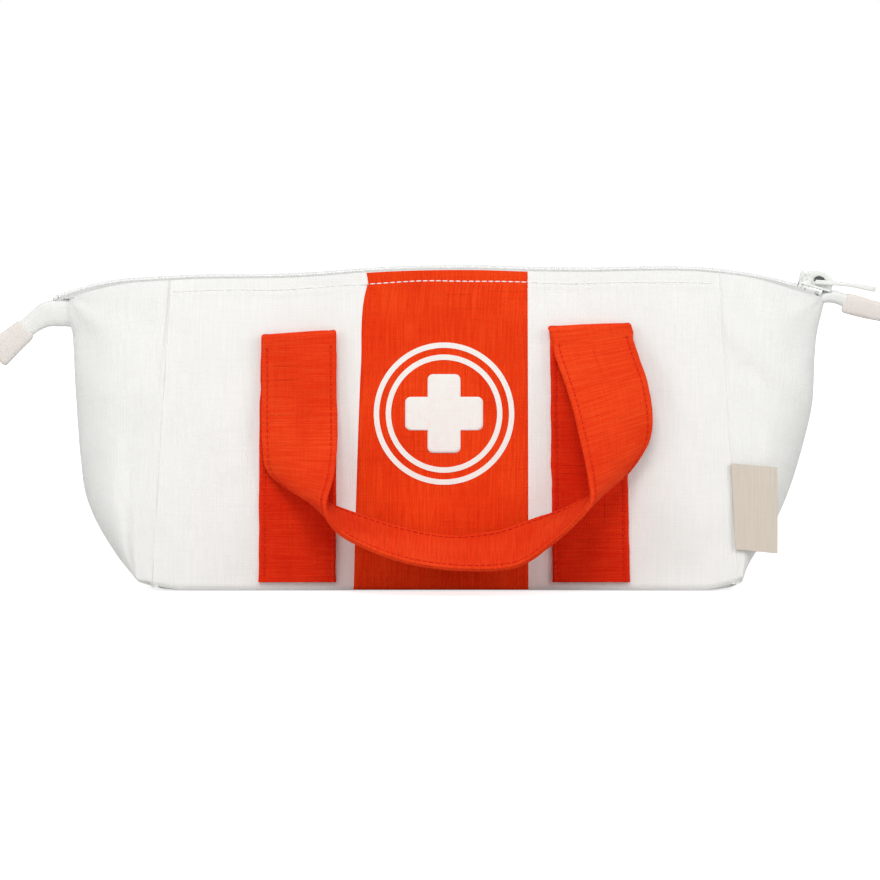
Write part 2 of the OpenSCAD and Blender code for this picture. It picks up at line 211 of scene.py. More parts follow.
def panel_relief(x, z, side):
    """Soft waves, hem and seams of the front (side 1) or back (side -1) panel."""
    seed = 11 if side > 0 else 23
    edge = seam_x(z) - np.abs(x)
    below_top = zip_z(x) - z
    calm = smooth_step(edge / 22.0) * smooth_step(z / 14.0)
    waves = calm * (0.75 * cloth_noise(x, z * 0.45, 34.0, seed)
                    + 0.20 * cloth_noise(x, z * 0.7, 12.0, seed + 5))
    seam_pull = 0.35 * np.exp(-edge / 3.5) * np.sin(z / 5.5 + 1.3 * np.sin(z / 17.0))
    hem = 0.30 * smooth_step((6.6 - below_top) / 1.6)
    groove = -0.28 * bump(below_top, HEM_STITCH, 0.6)
    pucker = 0.10 * np.exp(-np.square((below_top - HEM_STITCH) / 3.0)) * np.sin(
        x * 1.45 + 1.6 * np.sin(x / 8.0))
    roll = -0.40 * smooth_step((SIDE_ROLL - edge) / SIDE_ROLL) ** 2
    foot = -1.4 * smooth_step((2.0 - z + foot_lift(x * side)) / 2.0) ** 2
    return waves + seam_pull + hem + groove + pucker + roll + foot


def front_point(x, z, out, side=1):
    """Point on the front or back panel's cloth, raised by out."""
    y = panel_y(z) + panel_relief(x, z, side) + out
    return np.stack([x * side, -y * side, z + 0 * x], axis=-1)


# ---------------------------------------------------------------- making meshes

def sharpen(mesh, rims):
    """Marks closed runs of points as sharp edges, so that a cut end doesn't shade its face."""
    size = len(mesh.vertices)
    pairs = np.concatenate([np.stack([rim, np.roll(rim, -1)], axis=1) for rim in rims])
    wanted = pairs.min(axis=1).astype(np.int64) * size + pairs.max(axis=1)
    ends = np.zeros(len(mesh.edges) * 2, np.int32)
    mesh.edges.foreach_get("vertices", ends)
    ends = ends.reshape(-1, 2)
    keys = ends.min(axis=1).astype(np.int64) * size + ends.max(axis=1)
    flag = mesh.attributes.new("sharp_edge", "BOOLEAN", "EDGE")
    flag.data.foreach_set("value", np.isin(keys, wanted))


def new_piece(name, points, faces, uv, material, rims=()):
    """Mesh object from points in millimetres; uv holds one pair in millimetres a point."""
    mesh = bpy.data.meshes.new(name)
    points = np.asarray(points, float).reshape(-1, 3) * MM
    mesh.from_pydata(points.tolist(), [], faces)
    layer = mesh.uv_layers.new(name="cloth")
    corner = np.zeros(len(mesh.loops), np.int32)
    mesh.loops.foreach_get("vertex_index", corner)
    layer.data.foreach_set("uv", (np.asarray(uv, float).reshape(-1, 2) * MM)[corner].ravel())
    mesh.polygons.foreach_set("use_smooth", np.ones(len(mesh.polygons), bool))
    mesh.materials.append(material)
    mesh.validate()
    mesh.update()
    if rims:
        sharpen(mesh, [np.array(rim) for rim in rims])
    piece = bpy.data.objects.new(name, mesh)
    bpy.context.scene.collection.objects.link(piece)
    return piece


def grid_normals(grid):
    """Unit normals of a rows x columns grid of points."""
    along = np.gradient(grid, axis=1)
    up = np.gradient(grid, axis=0)
    normal = np.cross(along, up)
    return normal / np.maximum(np.linalg.norm(normal, axis=-1, keepdims=True), 1e-9)


def grid_uv(grid):
    """Lengths along the grid's rows and columns, as the cloth's own coordinates."""
    across = np.linalg.norm(np.diff(grid, axis=1), axis=-1)
    up = np.linalg.norm(np.diff(grid, axis=0), axis=-1)
    u = np.concatenate([np.zeros((grid.shape[0], 1)), np.cumsum(across, axis=1)], axis=1)
    v = np.concatenate([np.zeros((1, grid.shape[1])), np.cumsum(up, axis=0)], axis=0)
    u = u - u[:, [grid.shape[1] // 2]]
    return np.stack([u, v], axis=-1)


def shell(name, grid, outward, thickness, material, uv=None):
    """Closed sheet of cloth: its outer face is the grid, its inner face lies further in."""
    rows, cols = grid.shape[:2]
    normal = grid_normals(grid)
    if np.sum(normal.mean(axis=(0, 1)) * np.array(outward, float)) < 0:
        normal = -normal
        flip = True
    else:
        flip = False
    inner = grid - normal * thickness
    uv = grid_uv(grid) if uv is None else uv
    count = rows * cols
    faces = []
    for i in range(rows - 1):
        for j in range(cols - 1):
            a, b = i * cols + j, i * cols + j + 1
            c, d = b + cols, a + cols
            faces.append((a, d, c, b) if flip else (a, b, c, d))
            faces.append((a + count, b + count, c + count, d + count) if flip
                         else (a + count, d + count, c + count, b + count))
    rim = ([i for i in range(cols)] + [i * cols + cols - 1 for i in range(1, rows)]
           + [(rows - 1) * cols + j for j in range(cols - 2, -1, -1)]
           + [i * cols for i in range(rows - 2, 0, -1)])
    for k, a in enumerate(rim):
        b = rim[(k + 1) % len(rim)]
        faces.append((a, b, b + count, a + count) if flip else (b, a, a + count, b + count))
    points = np.concatenate([grid.reshape(-1, 3), inner.reshape(-1, 3)])
    both = np.concatenate([uv.reshape(-1, 2), uv.reshape(-1, 2)])
    rims = (rim, [i + count for i in rim])
    return new_piece(name, points, faces, both, material, rims)


def loft(name, rings, material, uv=None):
    """Closed solid through a stack of rings, each with the same number of points."""
    rings = np.asarray(rings, float)
    rows, cols = rings.shape[:2]
    if uv is None:
        closed = np.concatenate([rings, rings[:, :1]], axis=1)
        uv = grid_uv(closed)[:, :cols]
    faces = []
    for i in range(rows - 1):
        for j in range(cols):
            a, b = i * cols + j, i * cols + (j + 1) % cols
            faces.append((a, b, b + cols, a + cols))
    points = list(rings.reshape(-1, 3)) + [rings[0].mean(axis=0), rings[-1].mean(axis=0)]
    first, last = rows * cols, rows * cols + 1
    for j in range(cols):
        k = (j + 1) % cols
        faces.append((k, j, first))
        faces.append(((rows - 1) * cols + j, (rows - 1) * cols + k, last))
    uvs = np.concatenate([uv.reshape(-1, 2), uv[0].mean(axis=0)[None], uv[-1].mean(axis=0)[None]])
    rims = (range(cols), range((rows - 1) * cols, rows * cols))
    piece = new_piece(name, points, faces, uvs, material, rims)
    if signed_volume(piece) < 0:
        piece.data.flip_normals()
    return piece


def signed_volume(piece):
    mesh = piece.data
    mesh.calc_loop_triangles()
    co = np.zeros(len(mesh.vertices) * 3)
    mesh.vertices.foreach_get("co", co)
    co = co.reshape(-1, 3)
    tri = np.zeros(len(mesh.loop_triangles) * 3, np.int32)
    mesh.loop_triangles.foreach_get("vertices", tri)
    a, b, c = (co[tri.reshape(-1, 3)[:, k]] for k in range(3))
    return float(np.sum(a * np.cross(b, c)) / 6)


def unit(v):
    return v / np.maximum(np.linalg.norm(v, axis=-1, keepdims=True), 1e-9)


def joined(name, pieces):
    """One piece made of several that share materials and move together."""
    with bpy.context.temp_override(active_object=pieces[0], selected_editable_objects=pieces):
        bpy.ops.object.join()
    pieces[0].name = name
    return pieces[0]


# ---------------------------------------------------------------- shader groups

def new_group(name, inputs, outputs):
    """Shader node group with named float, vector or colour sockets."""
    kinds = {"f": "NodeSocketFloat", "v": "NodeSocketVector", "c": "NodeSocketColor"}
    group = bpy.data.node_groups.new(name, "ShaderNodeTree")
    for label, kind, value in inputs:
        made = group.interface.new_socket(label, in_out="INPUT", socket_type=kinds[kind])
        if value is not None:
            made.default_value = value
    for label, kind in outputs:
        group.interface.new_socket(label, in_out="OUTPUT", socket_type=kinds[kind])
    entry = group.nodes.new("NodeGroupInput")
    leave = group.nodes.new("NodeGroupOutput")
    return group, entry, leave


class Nodes:
    """Short calls to add and wire nodes in one tree."""

    def __init__(self, tree):
        self.tree = tree

    def add(self, kind, **settings):
        node = self.tree.nodes.new(kind)
        for key, value in settings.items():
            setattr(node, key, value)
        return node

    def wire(self, source, target):
        if isinstance(source, (int, float, tuple, list)):
            target.default_value = source
        else:
            self.tree.links.new(source, target)

    def math(self, operation, *values):
        node = self.add("ShaderNodeMath", operation=operation)
        for socket, value in zip(node.inputs, values):
            self.wire(value, socket)
        return node.outputs[0]

    def mix(self, factor, a, b, blend="MIX"):
        node = self.add("ShaderNodeMix", data_type="RGBA", blend_type=blend)
        self.wire(factor, node.inputs["Factor"])
        self.wire(a, node.inputs[6])
        self.wire(b, node.inputs[7])
        return node.outputs[2]

    def noise(self, vector, scale, detail=2.0, rough=0.5):
        node = self.add("ShaderNodeTexNoise", noise_dimensions="3D")
        self.wire(vector, node.inputs["Vector"])
        self.wire(scale, node.inputs["Scale"])
        self.wire(detail, node.inputs["Detail"])
        self.wire(rough, node.inputs["Roughness"])
        return node.outputs[0]

    def scaled(self, vector, factors):
        node = self.add("ShaderNodeVectorMath", operation="MULTIPLY")
        self.wire(vector, node.inputs[0])
        self.wire(factors, node.inputs[1])
        return node.outputs[0]

    def ramp(self, value, low, high, to_low=0.0, to_high=1.0):
        node = self.add("ShaderNodeMapRange", interpolation_type="SMOOTHSTEP")
        self.wire(value, node.inputs[0])
        for index, number in zip((1, 2, 3, 4), (low, high, to_low, to_high)):
            self.wire(number, node.inputs[index])
        return node.outputs[0]

    def group(self, tree, **values):
        node = self.add("ShaderNodeGroup", node_tree=tree)
        for label, value in values.items():
            self.wire(value, node.inputs[label.replace("_", " ")])
        return node


def weave_group():
    """Plain weave of uneven yarns: thread height, yarn tone and thin slubs."""
    group, entry, leave = new_group(
        "plain_weave",
        [("Cloth", "v", None), ("Pitch", "f", 0.00065), ("Slub", "f", 1.0), ("Lead", "f", 0.5)],
        [("Height", "f"), ("Tone", "f"), ("Slubs", "f")])
    n = Nodes(group)
    wander = n.add("ShaderNodeVectorMath", operation="ADD")
    drift = n.add("ShaderNodeTexNoise", noise_dimensions="3D")
    n.wire(entry.outputs["Cloth"], drift.inputs["Vector"])
    n.wire(60.0, drift.inputs["Scale"])
    small = n.scaled(drift.outputs["Color"], (0.0006, 0.0006, 0.0))
    n.wire(entry.outputs["Cloth"], wander.inputs[0])
    n.wire(small, wander.inputs[1])
    parts = n.add("ShaderNodeSeparateXYZ")
    n.wire(wander.outputs[0], parts.inputs[0])
    u = n.math("DIVIDE", parts.outputs[0], entry.outputs["Pitch"])
    v = n.math("DIVIDE", parts.outputs[1], entry.outputs["Pitch"])
    ridge_u = n.math("ABSOLUTE", n.math("SINE", n.math("MULTIPLY", u, math.pi)))
    ridge_v = n.math("ABSOLUTE", n.math("SINE", n.math("MULTIPLY", v, math.pi)))
    over = n.math("SINE", n.math("MULTIPLY", n.math("ADD", n.math("FLOOR", u),
                                                    n.math("ADD", n.math("FLOOR", v), 0.5)), math.pi))
    lead = entry.outputs["Lead"]
    rest = n.math("SUBTRACT", 1.0, lead)
    warp_lift = n.math("MULTIPLY_ADD", n.math("MULTIPLY", over, ridge_v), 0.3, 0.7)
    weft_lift = n.math("MULTIPLY_ADD", n.math("MULTIPLY", over, ridge_u), -0.3, 0.7)
    warp = n.math("MULTIPLY", n.math("MULTIPLY", ridge_u, warp_lift),
                  n.math("MULTIPLY_ADD", lead, 0.8, 0.6))
    weft = n.math("MULTIPLY", n.math("MULTIPLY", ridge_v, weft_lift),
                  n.math("MULTIPLY_ADD", rest, 0.8, 0.6))
    height = n.math("MAXIMUM", warp, weft)
    long_u = n.noise(n.scaled(wander.outputs[0], (1500.0, 55.0, 1.0)), 1.0, 2.0, 0.6)
    long_v = n.noise(n.scaled(wander.outputs[0], (55.0, 1500.0, 1.0)), 1.0, 2.0, 0.6)
    tone = n.math("ADD", n.math("MULTIPLY", long_u, lead), n.math("MULTIPLY", long_v, rest))
    thick_u = n.ramp(n.noise(n.scaled(entry.outputs["Cloth"], (900.0, 26.0, 1.0)), 1.0, 1.0), 0.63, 0.74)
    thick_v = n.ramp(n.noise(n.scaled(entry.outputs["Cloth"], (26.0, 900.0, 3.0)), 1.0, 1.0), 0.64, 0.75)
    slubs = n.math("MULTIPLY", n.math("MAXIMUM", thick_u, thick_v), entry.outputs["Slub"])
    n.wire(n.math("MULTIPLY_ADD", slubs, 0.6, height), leave.inputs["Height"])
    n.wire(tone, leave.inputs["Tone"])
    n.wire(slubs, leave.inputs["Slubs"])
    return group


def creasing_group():
    """Broad soft shading of handled cloth: faint darker patches and small creases."""
    group, entry, leave = new_group(
        "handled_cloth", [("Place", "v", None), ("Size", "f", 0.03)],
        [("Patches", "f"), ("Creases", "f")])
    n = Nodes(group)
    scale = n.math("DIVIDE", 1.0, entry.outputs["Size"])
    patches = n.ramp(n.noise(entry.outputs["Place"], scale, 3.0, 0.55), 0.35, 0.68)
    fine = n.noise(entry.outputs["Place"], n.math("MULTIPLY", scale, 5.0), 4.0, 0.62)
    n.wire(patches, leave.inputs["Patches"])
    n.wire(fine, leave.inputs["Creases"])
    return group


def fuzz_group():
    """Loose fibre fuzz that breaks up the light on cotton."""
    group, entry, leave = new_group("fibre_fuzz", [("Place", "v", None)], [("Fuzz", "f")])
    n = Nodes(group)
    n.wire(n.noise(entry.outputs["Place"], 2600.0, 3.0, 0.7), leave.inputs["Fuzz"])
    return group


WEAVE = weave_group()
HANDLED = creasing_group()
FUZZ = fuzz_group()


# ---------------------------------------------------------------- materials

def new_material(name):
    material = bpy.data.materials.new(name)
    material.use_nodes = True
    n = Nodes(material.node_tree)
    return material, n, material.node_tree.nodes["Principled BSDF"]


def srgb(r, g, b):
    """Linear colour of a tone that is written as it shows on a screen, 0 to 255."""
    def linear(c):
        c /= 255.0
        return c / 12.92 if c <= 0.04045 else ((c + 0.055) / 1.055) ** 2.4
    return (linear(r), linear(g), linear(b), 1.0)


def canvas(name, light, dark, shade, pitch=0.00065, bump_depth=0.00022, slub=1.0, sheen=0.12,
           rough=0.88, lead=0.5, gloss=0.2, patch=0.35, painted_gap_shade=0.3):
    """Woven cotton: light and dark yarn tones, a patch shade, painted shade in the low spots between the
    yarns, and weave in the bump.
    """
    material, n, surface = new_material(name)
    cloth = n.add("ShaderNodeUVMap", uv_map="cloth").outputs[0]
    place = n.add("ShaderNodeTexCoord").outputs["Object"]
    weave = n.group(WEAVE, Cloth=cloth, Pitch=pitch, Slub=slub, Lead=lead)
    handled = n.group(HANDLED, Place=place, Size=0.03)
    fuzz = n.group(FUZZ, Place=place)
    tone = n.ramp(weave.outputs["Tone"], 0.36, 0.64)
    colour = n.mix(tone, dark, light)
    colour = n.mix(n.math("MULTIPLY", handled.outputs["Patches"], patch), colour, shade)
    # painted shade: the low spots of the weave, between the yarns, are darkened towards the shade colour
    gap_shade_mask = n.ramp(weave.outputs["Height"], 0.12, 0.5, painted_gap_shade, 0.0)
    colour = n.mix(gap_shade_mask, colour, shade)
    n.wire(colour, surface.inputs["Base Color"])
    rough_now = n.math("MULTIPLY_ADD", fuzz.outputs["Fuzz"], 0.12, rough - 0.06)
    n.wire(rough_now, surface.inputs["Roughness"])
    height = n.math("ADD", weave.outputs["Height"],
                    n.math("MULTIPLY_ADD", fuzz.outputs["Fuzz"], 0.45,
                           n.math("MULTIPLY", handled.outputs["Creases"], 1.6)))
    relief = n.add("ShaderNodeBump")
    n.wire(1.0, relief.inputs["Strength"])
    n.wire(bump_depth, relief.inputs["Distance"])
    n.wire(height, relief.inputs["Height"])
    n.wire(relief.outputs[0], surface.inputs["Normal"])
    surface.inputs["Sheen Weight"].default_value = sheen
    surface.inputs["Sheen Roughness"].default_value = 0.45
    surface.inputs["Specular IOR Level"].default_value = gloss
    return material


def thread(name, light, dark):
    """Twisted sewing thread."""
    material, n, surface = new_material(name)
    place = n.add("ShaderNodeTexCoord").outputs["Object"]
    twist = n.noise(place, 2400.0, 2.0, 0.5)
    n.wire(n.mix(n.ramp(twist, 0.35, 0.65), dark, light), surface.inputs["Base Color"])
    n.wire(n.math("MULTIPLY_ADD", twist, 0.2, 0.5), surface.inputs["Roughness"])
    relief = n.add("ShaderNodeBump")
    n.wire(0.00006, relief.inputs["Distance"])
    n.wire(twist, relief.inputs["Height"])
    n.wire(relief.outputs[0], surface.inputs["Normal"])
    surface.inputs["Specular IOR Level"].default_value = 0.15
    return material


def screen_print(name, light, shade):
    """Matt ink on canvas: the weave shows through and thins it here and there."""
    material, n, surface = new_material(name)
    cloth = n.add("ShaderNodeUVMap", uv_map="cloth").outputs[0]
    place = n.add("ShaderNodeTexCoord").outputs["Object"]
    weave = n.group(WEAVE, Cloth=cloth, Pitch=0.00065, Slub=0.6)
    fuzz = n.group(FUZZ, Place=place)
    thin = n.ramp(n.math("MULTIPLY", weave.outputs["Height"], n.noise(place, 420.0, 3.0, 0.6)),
                  0.16, 0.30, 0.55, 0.0)
    n.wire(n.mix(thin, light, shade), surface.inputs["Base Color"])
    n.wire(n.math("MULTIPLY_ADD", fuzz.outputs["Fuzz"], 0.15, 0.62), surface.inputs["Roughness"])
    relief = n.add("ShaderNodeBump")
    n.wire(0.00009, relief.inputs["Distance"])
    n.wire(weave.outputs["Height"], relief.inputs["Height"])
    n.wire(relief.outputs[0], surface.inputs["Normal"])
    surface.inputs["Specular IOR Level"].default_value = 0.3
    return material


def zip_cloth(name, light, shade):
    """Zip tape: fine herringbone ribs along its length, their valleys painted darker as shade."""
    material, n, surface = new_material(name)
    cloth = n.add("ShaderNodeUVMap", uv_map="cloth").outputs[0]
    parts = n.add("ShaderNodeSeparateXYZ")
    n.wire(cloth, parts.inputs[0])
    rows = n.math("DIVIDE", parts.outputs[1], 0.0011)
    lean = n.math("ABSOLUTE", n.math("SUBTRACT", n.math("FRACT", rows), 0.5))
    ribs = n.math("SINE", n.math("MULTIPLY", n.math("MULTIPLY_ADD", lean, 0.0022,
                                                    parts.outputs[0]), 6.283 / 0.00055))
    height = n.math("MULTIPLY_ADD", ribs, 0.5, 0.5)
    # painted shade: the colour runs from the shade tone in the rib valleys to the light tone on the rib
    # tops
    n.wire(n.mix(height, shade, light), surface.inputs["Base Color"])
    n.wire(n.math("MULTIPLY_ADD", height, 0.1, 0.7), surface.inputs["Roughness"])
    relief = n.add("ShaderNodeBump")
    n.wire(0.00012, relief.inputs["Distance"])
    n.wire(height, relief.inputs["Height"])
    n.wire(relief.outputs[0], surface.inputs["Normal"])
    surface.inputs["Sheen Weight"].default_value = 0.1
    return material


def nylon(name, colour, shade):
    """Satin nylon of the coils."""
    material, n, surface = new_material(name)
    place = n.add("ShaderNodeTexCoord").outputs["Object"]
    mottle = n.noise(place, 900.0, 2.0, 0.5)
    n.wire(n.mix(n.ramp(mottle, 0.3, 0.7, 0.0, 0.6), colour, shade), surface.inputs["Base Color"])
    n.wire(n.math("MULTIPLY_ADD", mottle, 0.16, 0.24), surface.inputs["Roughness"])
    surface.inputs["Subsurface Weight"].default_value = 0.15
    surface.inputs["Subsurface Radius"].default_value = (0.001, 0.001, 0.001)
    surface.inputs["Coat Weight"].default_value = 0.15
    return material


def lacquer(name, colour, worn):
    """White lacquer over die-cast metal, rubbed thin along its edges."""
    material, n, surface = new_material(name)
    place = n.add("ShaderNodeTexCoord").outputs["Object"]
    geometry = n.add("ShaderNodeNewGeometry")
    patches = n.noise(place, 700.0, 4.0, 0.6)
    edge = n.ramp(geometry.outputs["Pointiness"], 0.52, 0.62)
    rubbed = n.math("MULTIPLY", edge, n.ramp(patches, 0.45, 0.62))
    n.wire(n.mix(rubbed, colour, worn), surface.inputs["Base Color"])
    n.wire(n.math("MULTIPLY", rubbed, 0.8), surface.inputs["Metallic"])
    n.wire(n.math("MULTIPLY_ADD", patches, 0.18, 0.20), surface.inputs["Roughness"])
    relief = n.add("ShaderNodeBump")
    n.wire(0.00004, relief.inputs["Distance"])
    n.wire(n.noise(place, 320.0, 3.0, 0.5), relief.inputs["Height"])
    n.wire(relief.outputs[0], surface.inputs["Normal"])
    surface.inputs["Coat Weight"].default_value = 0.4
    surface.inputs["Coat Roughness"].default_value = 0.15
    return material


def satin_label(name, light, shade):
    """Blank woven label: smooth face with very fine ribs."""
    material, n, surface = new_material(name)
    cloth = n.add("ShaderNodeUVMap", uv_map="cloth").outputs[0]
    place = n.add("ShaderNodeTexCoord").outputs["Object"]
    weave = n.group(WEAVE, Cloth=cloth, Pitch=0.0003, Slub=0.1, Lead=0.8)
    tone = n.ramp(weave.outputs["Tone"], 0.30, 0.70)
    patches = n.noise(place, 110.0, 3.0, 0.6)
    colour = n.mix(tone, shade, light)
    n.wire(n.mix(n.ramp(patches, 0.4, 0.8, 0.0, 0.25), colour, shade), surface.inputs["Base Color"])
    n.wire(n.math("MULTIPLY_ADD", patches, 0.15, 0.55), surface.inputs["Roughness"])
    relief = n.add("ShaderNodeBump")
    n.wire(0.00006, relief.inputs["Distance"])
    n.wire(weave.outputs["Height"], relief.inputs["Height"])
    n.wire(relief.outputs[0], surface.inputs["Normal"])
    surface.inputs["Sheen Weight"].default_value = 0.25
    return material


WHITE_CANVAS = canvas("white_canvas", srgb(243, 243, 240), srgb(238, 238, 235), srgb(228, 228, 224),
                      bump_depth=0.00009, slub=0.7, lead=0.65, patch=0.25, painted_gap_shade=0.1)
RED_CANVAS = canvas("red_canvas", srgb(250, 76, 26), srgb(242, 60, 16), srgb(218, 30, 6),
                    bump_depth=0.00022, sheen=0.0, lead=0.82, gloss=0.06)
RED_STRAP = canvas("red_strap", srgb(250, 78, 32), srgb(242, 60, 20), srgb(218, 32, 8),
                   bump_depth=0.00024, sheen=0.0, lead=0.25, gloss=0.06)
# painted shade: a darker, deeper red copy of the strap cloth for the sewn ends, which lie in the shade
# of the hanging loop
SEWN_RED_PAINTED_SHADE = canvas("sewn_red_painted_shade", srgb(240, 58, 22), srgb(230, 42, 14), srgb(204, 20, 5),
                  bump_depth=0.00024, sheen=0.0, lead=0.25, gloss=0.06)
TAB_CANVAS = canvas("tab_canvas", srgb(238, 232, 226), srgb(232, 225, 219), srgb(220, 212, 205),
                    pitch=0.0006, bump_depth=0.0001, slub=0.3, patch=0.3, painted_gap_shade=0.2)
PRINT = screen_print("white_print", srgb(239, 238, 234), srgb(240, 216, 206))
ZIP_TAPE = zip_cloth("zip_tape", srgb(244, 244, 242), srgb(232, 232, 229))
ZIP_COIL = nylon("zip_coil", srgb(246, 247, 245), srgb(236, 237, 235))
LACQUER = lacquer("white_lacquer", srgb(235, 237, 232), srgb(150, 152, 152))
# dark steel of the autolock spring plate, kept dark also as painted shade inside the slider crown's
# opening
DARK_STEEL_SHADE = lacquer("dark_steel_and_painted_shade", srgb(70, 70, 68), srgb(120, 120, 118))
LABEL = satin_label("label_cloth", srgb(214, 204, 190), srgb(206, 195, 180))
WHITE_THREAD = thread("white_thread", srgb(248, 248, 246), srgb(234, 234, 231))
RED_THREAD = thread("red_thread", srgb(226, 38, 12), srgb(200, 22, 6))


# ---------------------------------------------------------------- canvas body

def grid_of(columns, rows, at):
    """rows x columns grid of at(share across, share up)."""
    across, up = np.meshgrid(np.linspace(0, 1, columns), np.linspace(0, 1, rows))
    return at(across, up)


def panel_piece(name, side):
    """Front or back panel, from side seam to side seam and from the floor to the zip."""
    def at(s, t):
        t = t ** 0.96
        guess = t * ZIP_H
        x = (2 * s - 1) * seam_x(guess)
        top = hem_top(x) if side > 0 else back_top(x)
        foot = 0.3 + foot_lift(x * side)
        return front_point(x, foot + t * (top - foot), 0, side)
    grid = grid_of(185, 110, at)
    return shell(name, grid, (0, -side, 0), CANVAS_T, WHITE_CANVAS)


def hem_top(x):
    """Top edge of the front panel and gussets: beside the tape, and under it at the wings."""
    beside = 1.1 * (1 - smooth_step((np.abs(x) - 118.0) / 28.0))
    return zip_z(x) - TAPE_T / 2 - 0.05 + beside


def back_top(x):
    """The back panel's hem rides up beside the zip near the middle."""
    return zip_z(-x) - TAPE_T / 2 - 0.05 + 2.5 * bump(-x, 14.0, 17.0)


def gusset_relief(s, x, z, end, side):
    """Folds and hollows of a gusset's cloth; s runs from its end fold to the side seam."""
    along = 1 - s
    # creases that fan out from the wing
    fan = np.arctan2(z - 114.0, x - 150.0)
    near = np.exp(-np.hypot(x - 150.0, z - 114.0) / 30.0)
    folds = near * (0.30 if end > 0 else 0.55) * smooth_step(s * 4) * smooth_step(along * 5) \
        * np.sin(fan * 7.0 + 0.8 * end + 0.5 * side)
    # hollow between the end fold and the flat cloth at the seam
    trough = -(1.5 if end < 0 else 0.7) * bump(s, 0.70, 0.085) \
        * smooth_step((92.0 - z) / 50.0) * smooth_step(z / 16.0)
    # slanting drape, on the right only
    slant = ((x - 112.6) * 0.62 + (z - 92.0) * 0.785) * smooth_step(0.5 + end)
    drape = (0.5 * bump(slant, 7.0, 5.0) - 0.6 * bump(slant, -1.0, 4.5)) * (end > 0) \
        * smooth_step(along * 7) * smooth_step(s * 3)
    # hollow under the wing
    dent = -1.0 * bump(np.hypot(x - (143.0 if end < 0 else 141.5), (z - 94.0) / 1.5), 0, 5.5)
    waves = 0.9 * cloth_noise(x * 1.0, z * 0.8, 26.0, 41 + end + 3 * side) \
        * smooth_step(along * 4) * smooth_step(s * 3) * smooth_step(z / 14.0)
    small = 0.18 * cloth_noise(x, z, 9.0, 61 + end + 3 * side) * smooth_step(along * 6)
    roll = -0.35 * smooth_step((0.03 - along) / 0.03) ** 2
    return folds + trough + drape + dent + waves + small + roll


def gusset_half(name, end, side):
    """Half a gusset: from the end fold (end 1 is right) to the front (side 1) or back seam."""
    fold = RIGHT_FOLD if end > 0 else LEFT_FOLD
    rib = RIGHT_RIB if end > 0 else LEFT_RIB
    turn_in = 0.82       # share of the width from the end fold to the turned corner

    def section(s, z):
        """The cloth runs round from the fold, turns a soft corner and lies flat to the seam."""
        angle = np.clip(s / turn_in, 0, 1) * math.pi / 2
        flat = np.clip((s - turn_in) / (1 - turn_in), 0, 1)
        share = 1.04 + (0.74 - 1.04) * (z / ZIP_H) ** 3
        start, width = seam_x(z), through(rib, z)
        corner = start + width
        drop = 0.06 * width * (1 - flat) ** 2
        tuck = 0.5 * smooth_step((s - 0.975) / 0.025)
        x = corner + (through(fold, z) - corner) * np.cos(angle) ** share - width * flat
        y = (panel_y(z) - drop) * np.sin(angle) ** share
        return x - tuck, y - tuck, np.where(s < turn_in, angle, math.pi / 2)

    def at(s, t):
        top = np.full_like(s, 117.0)
        for _ in range(6):
            top = hem_top(end * section(s, top)[0])
        seam_foot = 0.3 + foot_lift(np.float64(end * HALF_L))
        foot = seam_foot * smooth_step((s - 0.3) / 0.5) + 0.4 * bump(s, turn_in, 0.1)
        z = foot + t * (top - foot)
        x, y, angle = section(s, z)
        # the bottom edge turns in under the bag, except at the side seam
        under = smooth_step((2.4 - z + foot) / 2.4) ** 2
        x = x + (np.minimum(x, HALF_L - 2.2) - x) * under * (1 - smooth_step((s - 0.86) / 0.14))
        y = y - 1.4 * under * smooth_step(s * 3)
        out = gusset_relief(s, x, z, end, side)
        y = y + out * np.sin(angle)
        x = x + out * np.cos(angle) * 0.5 * smooth_step(z / 10.0)
        y = np.maximum(y, 0.62 * smooth_step(s * 30))
        return np.stack([end * x, -side * y, z + 0.0 * x], axis=-1)
    grid = grid_of(90, 110, at)
    return shell(name, grid, (end, -side, 0), CANVAS_T, WHITE_CANVAS)


def base_piece():
    """Flat cloth base with rounded corners and a rolled seam round it."""
    half_l, half_w = HALF_L - 1.4, HALF_W - 1.8
    squareness = 0.095   # power of the rounded outline; 0 is a plain rectangle
    angles = np.linspace(0, 2 * math.pi, 128, endpoint=False)

    def outline(inset):
        c, s = np.cos(angles), np.sin(angles)
        reach_x, reach_y = half_l - inset, half_w - inset
        return np.stack([reach_x * np.sign(c) * np.abs(c) ** squareness,
                         reach_y * np.sign(s) * np.abs(s) ** squareness], axis=-1)

    def ring(inset, z, lift=1.0):
        flat = outline(inset)
        corner_up = smooth_step((np.abs(flat[:, 1]) - 20.0) / 9.0)
        up = lift * (foot_lift(flat[:, 0]) * corner_up)[:, None]
        return np.concatenate([flat, z + up], axis=1)
    rings = [ring(30.0, 0.12, 0.3), ring(12.0, 0.05, 0.3), ring(3.0, 0.0, 0.3), ring(0.8, 0.1, 0.4),
             ring(0.0, 0.7, 0.7), ring(0.0, 1.3), ring(0.8, 1.9), ring(3.0, 1.8),
             ring(12.0, 1.75), ring(30.0, 1.8)]
    flat = np.array([r[:, :2] for r in rings])
    return loft("base_cloth", rings, WHITE_CANVAS, uv=flat)


SLANT = math.hypot(ZIP_H, HALF_W - HEM_Y) + 0.4      # a panel's length up its slope
GUSSET_CUT_W = 49.0    # flat cut of half a gusset at its widest
GUSSET_CUT_H = SLANT - 5.0


def cloth(piece, width, length, held, share=1.0, others=()):
    """Takes a sheet's cut size in millimetres but keeps nothing of it; share, how full the cut is, is
    not used.
    """
    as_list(others)


